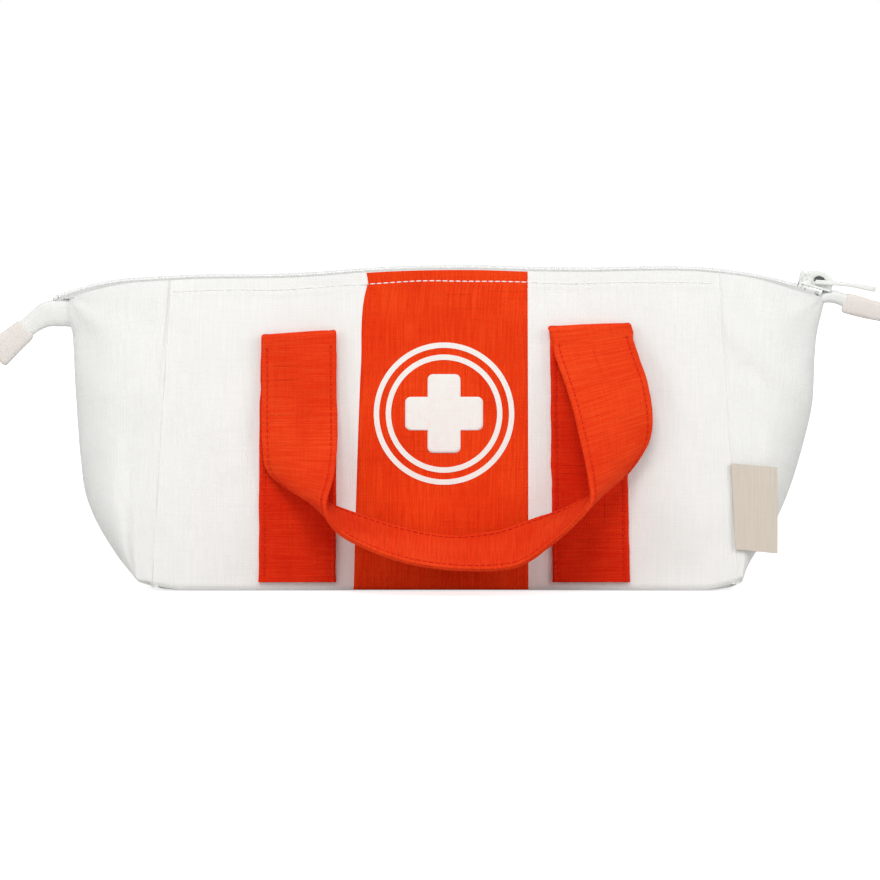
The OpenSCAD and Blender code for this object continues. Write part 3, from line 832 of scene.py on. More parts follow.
def build_body():
    front = panel_piece("front_canvas", 1)
    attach(front, "mouth_front")
    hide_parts("front_panel")
    back = panel_piece("back_canvas", -1)
    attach(back, "mouth_back")
    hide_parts("back_panel")
    for panel in (front, back):
        cloth(panel, BASE_L, SLANT, "stretched", (BASE_L + MOUTH_L) / 2 / BASE_L)
    base = base_piece()
    cloth(base, BASE_L - 3.2, BASE_W - 3.8, "stretched", 0.99)
    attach(base, "bag")
    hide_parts("base_panel")
    for end, word in ((-1, "left"), (1, "right")):
        for side, body in ((1, "mouth_front"), (-1, "mouth_back")):
            half = gusset_half(f"gusset_cloth_{word}_{body[6:]}", end, side)
            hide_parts(f"gusset_{word}")
            cloth(half, GUSSET_CUT_W, GUSSET_CUT_H, "stretched", 0.93)
            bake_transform(half)


# ---------------------------------------------------------------- band and emblem

BAND_EDGE = ((0, -36.0), (45, -34.8), (88, -33.3), (117, -31.6), (120.5, -30.7), (125, -31.3))


def band_piece(name, side):
    def at(s, t):
        low = 0.45
        left = through(BAND_EDGE, t * ZIP_H) if side > 0 else np.full_like(t, -BAND_RIGHT)
        x = left + s * (BAND_RIGHT - left)
        top = hem_top(x) - 0.15 if side > 0 else back_top(x)
        z = low + t * (top - low)
        edge = np.minimum(x - left, BAND_RIGHT - x)
        roll = BAND_T * np.sqrt(np.clip(1 - np.square(1 - np.clip(edge / 0.7, 0, 1)), 0, 1))
        fray = 0.10 * cloth_noise(x, z, 5.0, 77) * smooth_step(edge / 2.0)
        return front_point(x, z, roll + fray - 0.05, side)
    grid = grid_of(90, 130, at)
    return shell(name, grid, (0, -side, 0), 0.6, RED_CANVAS)


def print_point(x, z, lift):
    return front_point(x, z, BAND_T + 0.10 * cloth_noise(x, z, 5.0, 77) + lift)


def film(name, x, z, material):
    """Thin print that follows the band; x and z are grids of its outline."""
    return shell(name, print_point(x, z, 0.10), (0, -1, 0), 0.2, material,
                 uv=np.stack([x, z], axis=-1))


def ring_film(name, radius):
    angles = np.linspace(0, 2 * math.pi, 181)[:-1]
    angles = np.append(angles, 2 * math.pi)
    across = np.linspace(0, 1, 5)
    a, r = np.meshgrid(angles, radius - RING_W * across)
    return film(name, EMBLEM_X + r * np.cos(a), EMBLEM_Z + r * np.sin(a), PRINT)


def cross_reach(angle):
    """Distance from the cross's centre to its rounded outline, in one direction."""
    half, arm = CROSS_SPAN / 2, CROSS_ARM / 2
    c, s = abs(math.cos(angle)), abs(math.sin(angle))
    long_way, short_way = max(c, s), min(c, s)
    if short_way * half <= arm * long_way:
        reach = half / long_way
    else:
        reach = arm / short_way
    corner = math.hypot(half - CROSS_R, arm - CROSS_R)
    lean = math.atan2(short_way, long_way)
    middle = math.atan2(arm - CROSS_R, half - CROSS_R)
    inside = CROSS_R ** 2 - (corner * math.sin(lean - middle)) ** 2
    if inside > 0:
        rounded = corner * math.cos(lean - middle) + math.sqrt(inside)
        px, py = rounded * math.cos(lean), rounded * math.sin(lean)
        if px >= half - CROSS_R and py >= arm - CROSS_R:
            reach = min(reach, rounded)
    return reach


def cross_film():
    angles = np.linspace(0, 2 * math.pi, 289)[:-1]
    reach = np.array([cross_reach(a) for a in angles])
    shares = np.linspace(0.08, 1, 13)
    x = EMBLEM_X + shares[:, None] * (reach * np.cos(angles))[None]
    z = EMBLEM_Z + shares[:, None] * (reach * np.sin(angles))[None]
    rings = np.concatenate([print_point(x, z, -0.10), print_point(x, z, 0.10)[::-1]])
    flat = np.stack([x, z], axis=-1)
    return loft("cross_print", rings, PRINT, uv=np.concatenate([flat, flat[::-1]]))


def build_band():
    front = band_piece("band_cloth_front", 1)
    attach(front, "mouth_front")
    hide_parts("front_band")
    back = band_piece("band_cloth_back", -1)
    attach(back, "mouth_back")
    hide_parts("back_band")
    for band in (front, back):
        cloth(band, BAND_LEFT + BAND_RIGHT, SLANT, "stretched", 0.97)
    prints = ((cross_film(), "emblem_cross"),
              (ring_film("ring_print_outer", RING_R), "emblem_ring_outer"),
              (ring_film("ring_print_inner", RING_R - RING_W - RING_GAP), "emblem_ring_inner"))
    for piece, node in prints:
        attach(piece, "mouth_front")
        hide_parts(node)


# ---------------------------------------------------------------- handles

# Stations along the hanging loop, close to the frame's: place as a share of STRAP_X,
# drop as a share of LOOP_DROP, stand-off as a share of LOOP_STAND, turn, tilt, and how
# much wider than the plain strap the cloth is spread there
LOOP = ((-1.00, 0.06, 0.80, 0, -3, 0.99), (-0.995, 0.31, 1.0, 2, -1, 0.99),
        (-0.99, 0.52, 1.2, 8, 0, 1.0), (-0.985, 0.65, 0.8, 28, 3, 1.0),
        (-0.94, 0.74, 0.8, 58, 8, 1.0), (-0.80, 0.82, 0.8, 80, 13, 1.0),
        (-0.62, 0.885, 0.3, 88, 17, 1.0), (-0.31, 0.96, -0.15, 90, 20, 0.99),
        (0.035, 1.00, -0.15, 90, 20, 0.98), (0.35, 0.99, -0.15, 90, 24, 1.0),
        (0.54, 0.955, -0.05, 92, 27, 1.0), (0.71, 0.895, 0.5, 94, 20, 1.0),
        (0.875, 0.825, 1.2, 98, 13, 1.0), (1.066, 0.725, 1.5, 112, 12, 1.01),
        (1.145, 0.625, 1.6, 132, 13, 1.03), (1.172, 0.50, 2.0, 155, 15, 1.05),
        (1.13, 0.31, 2.9, 170, 16, 1.06), (1.055, 0.15, 2.1, 177, 12, 1.05),
        (1.00, 0.05, 0.8, 180, 7, 1.06))
LOOP_STEPS = 9         # rings between two stations


def smooth_stations(stations, steps):
    """Catmull-Rom curve through the stations."""
    p = np.array(stations, float)
    last = len(p) - 1
    made = []
    for k in range(last * steps + 1):
        i, t = divmod(k, steps)
        t /= steps
        i = min(i, last)
        a, b = p[max(0, i - 1)], p[i]
        c, d = p[min(last, i + 1)], p[min(last, i + 2)]
        made.append(b + 0.5 * t * (c - a + t * (2 * a - 5 * b + 4 * c - d
                                                + t * (3 * (b - c) + d - a))))
    return np.array(made)


def loop_rings():
    """Centres and half-width directions of the hanging part."""
    s = smooth_stations(LOOP, LOOP_STEPS)
    turn, tilt = np.radians(s[:, 3]), np.radians(s[:, 4])
    z = FOLD_Z - s[:, 1] * LOOP_DROP
    y = -panel_y(z) - STRAP_T - s[:, 2] * LOOP_STAND - STRAP_W / 2 * np.sin(turn) * np.cos(tilt)
    centre = np.stack([s[:, 0] * STRAP_X, y, z], axis=-1)
    width = np.stack([-np.cos(turn) * np.cos(tilt), np.sin(turn) * np.cos(tilt), np.sin(tilt)],
                     axis=-1)
    return centre, width * s[:, 5:6]


def sewn_rings(x, direction, lean):
    """Centres and half-width directions of a sewn end, from its foot to the fold."""
    z = np.linspace(STRAP_Z, FOLD_CUT, 60)
    share = (z - STRAP_Z) / (FOLD_CUT - STRAP_Z)
    centre = np.stack([x + lean * share, -panel_y(z) - STRAP_SEAT, z], axis=-1)
    width = np.stack([direction * (1.015 - 0.015 * share), 0 * z, 0 * z], axis=-1)
    return centre, width


FOLD_RISE_RINGS = 7    # rings from a sewn end's cut up to its fold
FOLD_TURN = np.radians(np.linspace(0, 180, 25))      # angles of the rings over the fold


def fold_rings(x, direction, leg_start, leg_width, top, tilt, spread):
    """Rings over the fold, from the sewn end's cut to the leg's first ring."""
    lean = math.atan((panel_y(FOLD_CUT - 1) - panel_y(FOLD_CUT + 1)) / 2)
    outward = np.array([0.0, -math.cos(lean), math.sin(lean)])
    upward = np.array([0.0, math.sin(lean), math.cos(lean)])
    low = np.array([x, -panel_y(FOLD_CUT) - STRAP_SEAT, FOLD_CUT])
    stand = float(np.dot(leg_start - low, outward))
    radius = stand / 2
    rise = top - FOLD_CUT - radius - STRAP_T / 2
    middle = low + outward * radius + upward * rise
    made = [low + upward * rise * share for share in np.linspace(0, 0.9, FOLD_RISE_RINGS)]
    for angle in FOLD_TURN:
        made.append(middle - outward * radius * math.cos(angle) + upward * radius * math.sin(angle))
    far_side = middle + outward * radius
    made += [far_side + (leg_start - far_side) * share for share in np.linspace(0.08, 1, 14)]
    centre = np.array(made)
    share = np.linspace(0, 1, len(made))
    rise_to = smooth_step(share * 2)[:, None]
    fall_to = smooth_step(share * 2 - 1)[:, None]
    flat = np.array([direction, 0.0, 0.0])
    lean_top = math.radians(tilt) * direction
    at_top = spread * (flat * math.cos(lean_top) + upward * math.sin(lean_top))
    width = flat * (1 - rise_to) + at_top * (rise_to - fall_to) + leg_width * fall_to
    centre[:, 0] += (leg_start[0] - x) * smooth_step(share)
    centre[-1] = leg_start
    return centre, width


STRAP_STITCH = 12.7    # stitch rows this far from the strap's centre line


def strap_section():
    """(across, out) points round the strap's section: folded edges, stitch grooves."""
    face = np.linspace(-1, 1, 41)
    across = face * (STRAP_W / 2 - STRAP_T / 2)
    half = STRAP_T / 2
    groove = 0.32 * (bump(np.abs(across), STRAP_STITCH, 0.6))
    pillow = 0.14 * (1 - np.square(face)) + 0.20 * smooth_step((np.abs(across) - 13.0) / 0.6)
    out = half - 0.12 - groove + pillow
    round_angles = np.linspace(90, -90, 9)[1:-1]
    right = [((STRAP_W - STRAP_T) / 2 + half * math.cos(math.radians(a)),
              half * math.sin(math.radians(a))) for a in round_angles]
    top = list(zip(across, out))
    left = [(-x, -y) for x, y in right]
    bottom = [(x, -y) for x, y in reversed(top)]
    return np.array(top + right + bottom + left)


def strap_mesh(name, centre, width, material, seed, limits):
    """Strap swept along rings; limits picks a run of them, so that pieces meet exactly."""
    section = strap_section()
    along = unit(np.gradient(centre, axis=0))
    normal = unit(np.cross(along, width))
    length = np.concatenate([[0], np.cumsum(np.linalg.norm(np.diff(centre, axis=0), axis=-1))])
    across, out = section[:, 0], section[:, 1]
    wave = 0.30 * cloth_noise(length[:, None] + 0 * across, across + 40, 11.0, seed)
    ragged = 0.35 * cloth_noise(length[:, None] + 0 * across, 0 * across + 9, 7.0, seed + 2)
    edge = np.sign(across) * smooth_step((np.abs(across) - 11) / 4) * ragged
    rings = (centre[:, None] + width[:, None] * (across + edge)[..., None]
             - normal[:, None] * (out + wave * 0.6)[..., None])
    uv = np.stack([np.broadcast_to(across + np.where(out < 0, 60.0, 0.0), wave.shape),
                   np.broadcast_to(length[:, None], wave.shape)], axis=-1)
    first, last = limits
    return loft(name, rings[first:last + 1], material, uv=uv[first:last + 1])


def turned(points):
    """Half a turn about Z: the back handle is the front one turned."""
    return points * np.array([-1.0, -1.0, 1.0])


def eased(rows, first, last, times=16):
    """Evens out a run of rings between two that stay."""
    rows = rows.copy()
    for _ in range(times):
        rows[first + 1:last] = (rows[first:last - 1] + 2 * rows[first + 1:last]
                                + rows[first + 2:last + 1]) / 4
    return rows


def handle_path():
    """Whole strap of one handle, foot to foot, and the ring numbers of its cuts."""
    leg, leg_width = loop_rings()
    left, left_width = sewn_rings(-STRAP_X - 0.4, -1.0, 0.3)
    fold_l, fold_l_width = fold_rings(-STRAP_X - 0.1, -1.0, leg[0], leg_width[0],
                                      FOLD_Z - 0.8, 3.8, 0.985)
    right, right_width = sewn_rings(STRAP_X - 0.3, 1.0, -1.0)
    fold_r, fold_r_width = fold_rings(STRAP_X - 1.3, 1.0, leg[-1], leg_width[-1],
                                      FOLD_Z + 2.4, 2.4, 1.10)
    centre = np.concatenate([left[:-1], fold_l[:-1], leg, fold_r[::-1][1:], right[::-1][1:]])
    width = np.concatenate([left_width[:-1], fold_l_width[:-1], leg_width,
                            fold_r_width[::-1][1:], right_width[::-1][1:]])
    cut_1 = len(left) - 1
    cut_2 = cut_1 + len(fold_l) - 1
    cut_3 = cut_2 + len(leg) - 1
    cut_4 = cut_3 + len(fold_r) - 1
    turn = FOLD_RISE_RINGS + len(FOLD_TURN)
    arc = turn - 3     # rings from a sewn end's cut to past the top of its fold
    centre = eased(centre, cut_1 + arc, cut_2 + LOOP_STEPS)
    width = eased(width, cut_1 + 3, cut_2 + LOOP_STEPS)
    centre = eased(centre, cut_3 - LOOP_STEPS, cut_4 - arc)
    width = eased(width, cut_3 - LOOP_STEPS, cut_4 - 3)
    lean = math.atan((panel_y(FOLD_Z - 1) - panel_y(FOLD_Z + 1)) / 2)
    outward = np.array([0.0, -math.cos(lean), math.sin(lean)])
    for over in (slice(cut_1, cut_1 + turn), slice(cut_4 - turn + 1, cut_4 + 1)):
        width[over] -= (width[over] @ outward)[:, None] * outward
    return centre, width, (cut_1, cut_2, cut_3, cut_4)


def opening(centre, width, crest_first, flip):
    """Where a fold starts and stops turning as its leg is lifted: down and off the panel."""
    if not crest_first:
        centre, width = centre[::-1], width[::-1]
    off = np.array([0.0, 1.0 if flip else -1.0, 0.0])
    way = unit(off * 1.0 + np.array([0.0, 0.0, -1.0]))
    half_t = STRAP_T / 2 * 0.72          # the strap's faces, seen along the slanting way
    half_w = STRAP_W / 2 * abs(float(np.dot(width[-1], way)))
    stop = float(np.dot(centre[-1] - centre[0], way)) - half_t - half_w - 0.15
    begin = max(0.2, stop - 1.3)
    return centre[0] + way * begin, centre[0] + way * stop


def build_handles():
    centre, width, cuts = handle_path()
    last = len(centre) - 1
    for word, mouth, flip in (("front", "mouth_front", False), ("back", "mouth_back", True)):
        c = turned(centre) if flip else centre
        w = width * np.array([-1.0, -1.0, 1.0]) if flip else width
        ends = ("right", "left") if flip else ("left", "right")
        seed = 300 if flip else 200
        crest = FOLD_RISE_RINGS + len(FOLD_TURN) // 2
        runs = ((f"sewn_strap_{word}_{ends[0]}", (0, cuts[0])),
                (f"strap_crest_{word}_{ends[0]}", (cuts[0], cuts[0] + crest)),
                (f"strap_fold_{word}_{ends[0]}", (cuts[0] + crest, cuts[1])),
                (f"handle_strap_{word}", (cuts[1], cuts[2])),
                (f"strap_fold_{word}_{ends[1]}", (cuts[2], cuts[3] - crest)),
                (f"strap_crest_{word}_{ends[1]}", (cuts[3] - crest, cuts[3])),
                (f"sewn_strap_{word}_{ends[1]}", (cuts[3], last)))
        made = {}
        for name, limits in runs:
            # the sewn ends take the strap red with painted shade
            red = SEWN_RED_PAINTED_SHADE if name.startswith("sewn") else RED_STRAP
            piece = strap_mesh(name, c, w, red, seed, limits)
            run = c[limits[0]:limits[1] + 1]
            made[name] = (piece, float(np.sum(np.linalg.norm(np.diff(run, axis=0), axis=-1))))
            if name.startswith("sewn"):
                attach(piece, mouth)
                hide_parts(name.replace("sewn_strap", "strap"))
            elif name.startswith("handle"):
                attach(piece, f"handle_{word}")
                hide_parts(f"handle_{word}")
            elif name.startswith("strap_crest"):
                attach(piece, mouth)
            else:
                start, end = opening(run, w[limits[0]:limits[1] + 1], ends[0] in name, flip)
                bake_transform(piece)
        for end in ends:
            piece, length = made[f"sewn_strap_{word}_{end}"]
            cloth(piece, STRAP_W, length, "stretched", others=[made[f"strap_crest_{word}_{end}"][0]])
        piece, length = made[f"handle_strap_{word}"]
        cloth(piece, STRAP_W, length, "hung",
              others=[made[f"strap_fold_{word}_{end}"][0] for end in ends])


# ---------------------------------------------------------------- zip

def tape_piece(name, x1, x2, side):
    """Flat tape of one side between x1 and x2."""
    def at(s, t):
        x = x1 + s * (x2 - x1)
        y = TAPE_IN + t * (tape_edge(x) - TAPE_IN)
        # raised beside the coil, tucked down behind the hem
        reach = (y - TAPE_IN) / (tape_edge(x) - TAPE_IN)
        rise = 0.9 * bump(y, 2.6, 1.2) - 1.3 * smooth_step((reach - 0.55) / 0.45)
        return np.stack([x, -side * y, zip_z(x) + TAPE_T / 2 + rise], axis=-1)
    columns = max(12, int(abs(x2 - x1) / 1.5))
    grid = grid_of(columns, 8, at)
    return shell(name, grid, (0, 0, 1), TAPE_T, ZIP_TAPE)


def tape_edge(x):
    """The tape narrows into the folded wing past the panel's ends."""
    return HEM_Y - 0.3 - (HEM_Y - 5.6) * smooth_step((np.abs(x) - 100.0) / 25.0) \
        - 3.6 * smooth_step((np.abs(x) - 144.0) / 12.0)


def coil_tree():
    """Nylon coil wound round a straight run of the zip's own path."""
    tree = bpy.data.node_groups.new("nylon_coil", "GeometryNodeTree")
    face = tree.interface
    face.new_socket("Geometry", in_out="INPUT", socket_type="NodeSocketGeometry")
    for label, value in (("Turns", 100.0), ("Half Height", 0.001), ("Half Width", 0.001),
                         ("Wire Radius", 0.0003), ("Phase", 0.0)):
        made = face.new_socket(label, in_out="INPUT", socket_type="NodeSocketFloat")
        made.default_value = value
    made = face.new_socket("Points A Turn", in_out="INPUT", socket_type="NodeSocketInt")
    made.default_value = 10
    face.new_socket("Finish", in_out="INPUT", socket_type="NodeSocketMaterial")
    face.new_socket("Geometry", in_out="OUTPUT", socket_type="NodeSocketGeometry")
    add, link = tree.nodes.new, tree.links.new
    entry, leave = add("NodeGroupInput"), add("NodeGroupOutput")

    def math_node(operation, a, b=None):
        node = add("ShaderNodeMath")
        node.operation = operation
        for socket, value in zip(node.inputs, (a, b)):
            if value is None:
                continue
            if isinstance(value, (int, float)):
                socket.default_value = value
            else:
                link(value, socket)
        return node.outputs[0]
    to_curve = add("GeometryNodeMeshToCurve")
    link(entry.outputs["Geometry"], to_curve.inputs[0])
    resample = add("GeometryNodeResampleCurve")
    link(to_curve.outputs[0], resample.inputs["Curve"])
    count = math_node("MULTIPLY", entry.outputs["Turns"], entry.outputs["Points A Turn"])
    link(count, resample.inputs["Count"])
    place = add("GeometryNodeSplineParameter")
    turn = math_node("MULTIPLY", place.outputs["Factor"], entry.outputs["Turns"])
    turn = math_node("ADD", turn, entry.outputs["Phase"])
    angle = math_node("MULTIPLY", turn, 2 * math.pi)
    up = math_node("MULTIPLY", math_node("COSINE", angle), entry.outputs["Half Height"])
    out = math_node("MULTIPLY", math_node("SINE", angle), entry.outputs["Half Width"])
    offset = add("ShaderNodeCombineXYZ")
    link(out, offset.inputs[1])
    link(up, offset.inputs[2])
    move = add("GeometryNodeSetPosition")
    link(resample.outputs[0], move.inputs["Geometry"])
    link(offset.outputs[0], move.inputs["Offset"])
    wire = add("GeometryNodeCurvePrimitiveCircle")
    wire.inputs["Resolution"].default_value = 6
    link(entry.outputs["Wire Radius"], wire.inputs["Radius"])
    sweep = add("GeometryNodeCurveToMesh")
    link(move.outputs[0], sweep.inputs["Curve"])
    link(wire.outputs[0], sweep.inputs["Profile Curve"])
    sweep.inputs["Fill Caps"].default_value = True
    smooth = add("GeometryNodeSetShadeSmooth")
    link(sweep.outputs[0], smooth.inputs[0])
    real = add("GeometryNodeRealizeInstances")
    link(smooth.outputs[0], real.inputs[0])
    paint = add("GeometryNodeSetMaterial")
    link(real.outputs[0], paint.inputs["Geometry"])
    link(entry.outputs["Finish"], paint.inputs["Material"])
    link(paint.outputs[0], leave.inputs[0])
    return tree


def polyline(name, points, normals=None):
    """Helper line of points for a node tree, in millimetres."""
    mesh = bpy.data.meshes.new(name)
    count = len(points)
    mesh.from_pydata((np.asarray(points) * MM).tolist(), [(i, i + 1) for i in range(count - 1)], [])
    if normals is not None:
        held = mesh.attributes.new("up", "FLOAT_VECTOR", "POINT")
        held.data.foreach_set("vector", np.asarray(normals, float).ravel())
    line = bpy.data.objects.new(name, mesh)
    bpy.context.scene.collection.objects.link(line)
    return line


def grown(line, tree, material, **values):
    """Runs a node tree on a helper line and keeps the result as a plain mesh."""
    modifier = line.modifiers.new("made", "NODES")
    modifier.node_group = tree
    sockets = {s.name: s.identifier for s in tree.interface.items_tree
               if s.item_type == "SOCKET" and s.in_out == "INPUT"}
    for label, value in values.items():
        modifier[sockets[label.replace("_", " ")]] = value
    modifier[sockets["Finish"]] = material
    bpy.context.view_layer.update()
    graph = bpy.context.evaluated_depsgraph_get()
    made = bpy.data.meshes.new_from_object(line.evaluated_get(graph))
    line.modifiers.clear()
    old = line.data
    line.data = made
    bpy.data.meshes.remove(old)
    if not made.materials:
        made.materials.append(material)
    return line


COIL_PITCH = 1.25
COIL = coil_tree()


def coil_piece(name, x1, x2, side):
    x = np.linspace(x1, x2, max(8, int(abs(x2 - x1) / 2)))
    points = np.stack([x, np.full_like(x, -side * COIL_Y), zip_z(x) + COIL_Z - 0.1], axis=-1)
    turns = float(round(abs(x2 - x1) / COIL_PITCH))
    line = polyline(name, points)
    phase = 0.0 if side > 0 else 0.5
    wound = grown(line, COIL, ZIP_COIL, Turns=turns, Half_Height=0.78 * MM, Half_Width=1.0 * MM,
                  Wire_Radius=0.33 * MM, Phase=phase, Points_A_Turn=10)
    angles = np.radians(np.arange(0, 360, 45))
    round_cord = np.stack([0 * angles, 1.0 * np.cos(angles), 0.8 * np.sin(angles) - 0.1], axis=-1)
    cord = loft(f"{name}_cord", points[:, None] + round_cord[None], ZIP_COIL)
    return joined(name, [wound, cord])


def build_zip():
    meet = HALF_MOUTH
    for side, word, mouth in ((1, "front", "mouth_front"), (-1, "back", "mouth_back")):
        tape = tape_piece(f"tape_{word}", -meet, meet, side)
        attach(tape, mouth)
        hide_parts(f"zip_tape_{word}")
        coil = coil_piece(f"coil_{word}", -meet, meet, side)
        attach(coil, mouth)
        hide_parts(f"zip_coil_{word}")
        for end, end_word in ((-1, "left"), (1, "right")):
            x1, x2 = sorted((end * meet, end * TAPE_END))
            tape = tape_piece(f"tape_{end_word}_{word}", x1, x2, side)
            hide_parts(f"zip_tape_{end_word}")
            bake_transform(tape)
            x1, x2 = sorted((end * meet, end * COIL_END))
            coil = coil_piece(f"coil_{end_word}_{word}", x1, x2, side)
            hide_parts(f"zip_coil_{end_word}")
            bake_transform(coil)


# ---------------------------------------------------------------- slider and pull

SLIDER_TILT = 8.3      # the slider noses down this much more than the plain arch, in degrees
SLIDER_RISE = 0.6      # and rides this much higher
PULL_RISE = 8.1        # the pull lies this much flatter than the slider, in degrees


def on_track(points):
    """Moves points drawn at the top of the arch (x along, z above the tape) to the slider."""
    points = np.asarray(points, float)
    lean = math.asin(SLIDER_X / TRACK_R) + math.radians(SLIDER_TILT)
    c, s = math.cos(lean), math.sin(lean)
    height = ZIP_H - TRACK_R + math.sqrt(TRACK_R ** 2 - SLIDER_X ** 2) + SLIDER_RISE
    made = points.copy()
    made[..., 0] = SLIDER_X + points[..., 0] * c + points[..., 2] * s
    made[..., 2] = height - points[..., 0] * s + points[..., 2] * c
    return made


def on_pin(points):
    """Places a part of the pull: turned up about its pin, then moved with the slider."""
    points = np.asarray(points, float)
    c, s = math.cos(math.radians(PULL_RISE)), math.sin(math.radians(PULL_RISE))
    made = points.copy()
    made[..., 0] = points[..., 0] * c - (points[..., 2] - PULL_Z) * s
    made[..., 2] = PULL_Z + points[..., 0] * s + (points[..., 2] - PULL_Z) * c
    return on_track(made)


def rounded_plate(name, outline, z0, z1, edge):
    """Plate over a flat outline with rounded rims."""
    outline = np.array(outline, float)
    middle = outline.mean(axis=0)

    def ring(inset, z):
        away = unit(outline - middle)
        return np.concatenate([outline - away * inset, np.full((len(outline), 1), z)], axis=1)
    steps = [(edge, z0), (edge * 0.3, z0 + edge * 0.3), (0, z0 + edge), (0, z1 - edge),
             (edge * 0.3, z1 - edge * 0.3), (edge, z1), (edge * 3, z1 + 0.05)]
    rings = [on_track(ring(i, z)) for i, z in steps]
    return loft(name, rings, LACQUER)


def slider_outline(inset=0.0):
    """Plan of the slider: wide shoulders where the halves come in, narrow heel."""
    half_w, heel, half_l = SLIDER_W / 2 - inset, SLIDER_W / 2 - 1.0 - inset, SLIDER_L / 2 - inset
    upper = [(-half_l, 0.0), (-half_l, heel - 1.4), (-half_l + 0.5, heel - 0.5),
             (-half_l + 1.4, heel), (-2.0, heel), (0.5, heel + 0.15), (2.5, half_w - 0.25),
             (4.5, half_w), (half_l - 1.4, half_w), (half_l - 0.5, half_w - 0.5),
             (half_l, half_w - 1.4)]
    lower = [(x, -y) for x, y in reversed(upper[1:])]
    return upper + lower


def slab(name, outline, half_w, edge, material):
    """Cast part with a flat convex side outline (x, z), its rims rounded."""
    outline = np.array(outline, float)
    corners = np.concatenate([outline, outline[:1]])
    fine = np.concatenate([a + (b - a) * np.linspace(0, 1, 7)[:-1, None]
                           for a, b in zip(corners[:-1], corners[1:])])
    for _ in range(3):
        fine = (np.roll(fine, 1, axis=0) + 2 * fine + np.roll(fine, -1, axis=0)) / 4
    middle = fine.mean(axis=0)
    away = unit(fine - middle)
    rings = []
    for inset, y in ((edge, -half_w), (edge * 0.3, -half_w + edge * 0.3), (0, -half_w + edge),
                     (0, half_w - edge), (edge * 0.3, half_w - edge * 0.3), (edge, half_w)):
        flat = fine - away * inset
        rings.append(np.stack([flat[:, 0], np.full(len(flat), y), flat[:, 1]], axis=-1))
    return loft(name, on_track(rings), material)


def crown_arch(foot):
    """The crown over the pull's pin: one cast arch, high in front, with a small opening."""
    outer = smooth_stations([(-6.7, foot), (-7.0, 4.6), (-6.9, 6.3), (-6.2, 7.4), (-4.6, 8.0),
                             (-2.4, 8.4), (-0.2, 8.8), (1.4, 8.9), (2.8, 8.6), (4.5, 8.0),
                             (6.2, 7.4), (7.4, 6.9), (7.6, 6.2), (6.7, 4.4), (6.9, foot)], 4)
    inner = smooth_stations([(-1.1, foot), (-1.1, 4.4), (-1.1, 5.3), (-1.0, 5.8), (-0.8, 6.1),
                             (-0.4, 6.5), (0.2, 6.8), (1.0, 6.95), (1.9, 6.85), (2.6, 6.6),
                             (3.0, 6.2), (3.2, 5.9), (3.3, 5.4), (3.3, 4.4), (3.3, foot)], 4)
    half_w, edge = 1.2, 0.28
    span = np.linalg.norm(outer - inner, axis=1)[:, None]
    rings = []
    for depth, y in ((0, -half_w + edge), (0, half_w - edge), (edge, half_w), (-edge, half_w),
                     (None, half_w - edge), (None, -half_w + edge), (-edge, -half_w),
                     (edge, -half_w)):
        share = 1.0 if depth is None else (depth / span if depth >= 0 else 1 + depth / span)
        flat = outer + (inner - outer) * share
        rings.append(np.stack([flat[:, 0], np.full(len(flat), y), flat[:, 1]], axis=-1))
    return loft("slider_crown", on_track(np.array(rings).transpose(1, 0, 2)), LACQUER)


def slider_flanges():
    """Side flanges from the top plate down past the tape, leaning out a little."""
    made = []
    low, high, half_t = -0.5, PLATE_TOP - 0.4, 0.45
    for side in (1, -1):
        y_out = SLIDER_W / 2 - half_t
        path = smooth_stations([(-6.6, y_out - 1.0), (-2.0, y_out - 1.0), (1.0, y_out - 0.6),
                                (3.1, y_out)], 4)
        rings = []
        for z, dy in ((low, half_t + 0.4), (low, -half_t), (high, -half_t), (high, 0.15)):
            rings.append(np.stack([path[:, 0], side * (path[:, 1] + dy),
                                   np.full(len(path), z)], -1))
        rings = np.array(rings).transpose(1, 0, 2)
        made.append(loft(f"slider_flange_{side}", on_track(rings), LACQUER))
    return made


def build_slider():
    plate_in = PLATE_TOP - 0.85
    under = TAPE_T / 2 + 0.3
    foot = PLATE_TOP - 0.15
    parts = [rounded_plate("slider_top", slider_outline(), plate_in, PLATE_TOP, 0.3),
             rounded_plate("slider_bottom", slider_outline(1.2), -under - PLATE_T, -under, 0.35)]
    parts += slider_flanges()
    parts.append(crown_arch(foot))
    seat = [(-1.6, foot), (3.6, foot), (3.6, 4.9), (-1.6, 4.5)]
    parts.append(slab("slider_seat", seat, 1.1, 0.1, LACQUER))
    # dark steel plate that fills the crown's opening: the autolock's spring, and painted shade standing
    # in for the dark inside of the crown
    lock = [(-1.6, 4.2), (3.6, 4.5), (3.6, 7.2), (-1.6, 7.2)]
    parts.append(slab("slider_lock_shade_plate", lock, 0.35, 0.1, DARK_STEEL_SHADE))
    slider = joined("slider_body", parts)
    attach(slider, "slider")
    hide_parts("slider")
    pull = pull_piece()
    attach(pull, "pull")
    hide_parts("pull_tab")


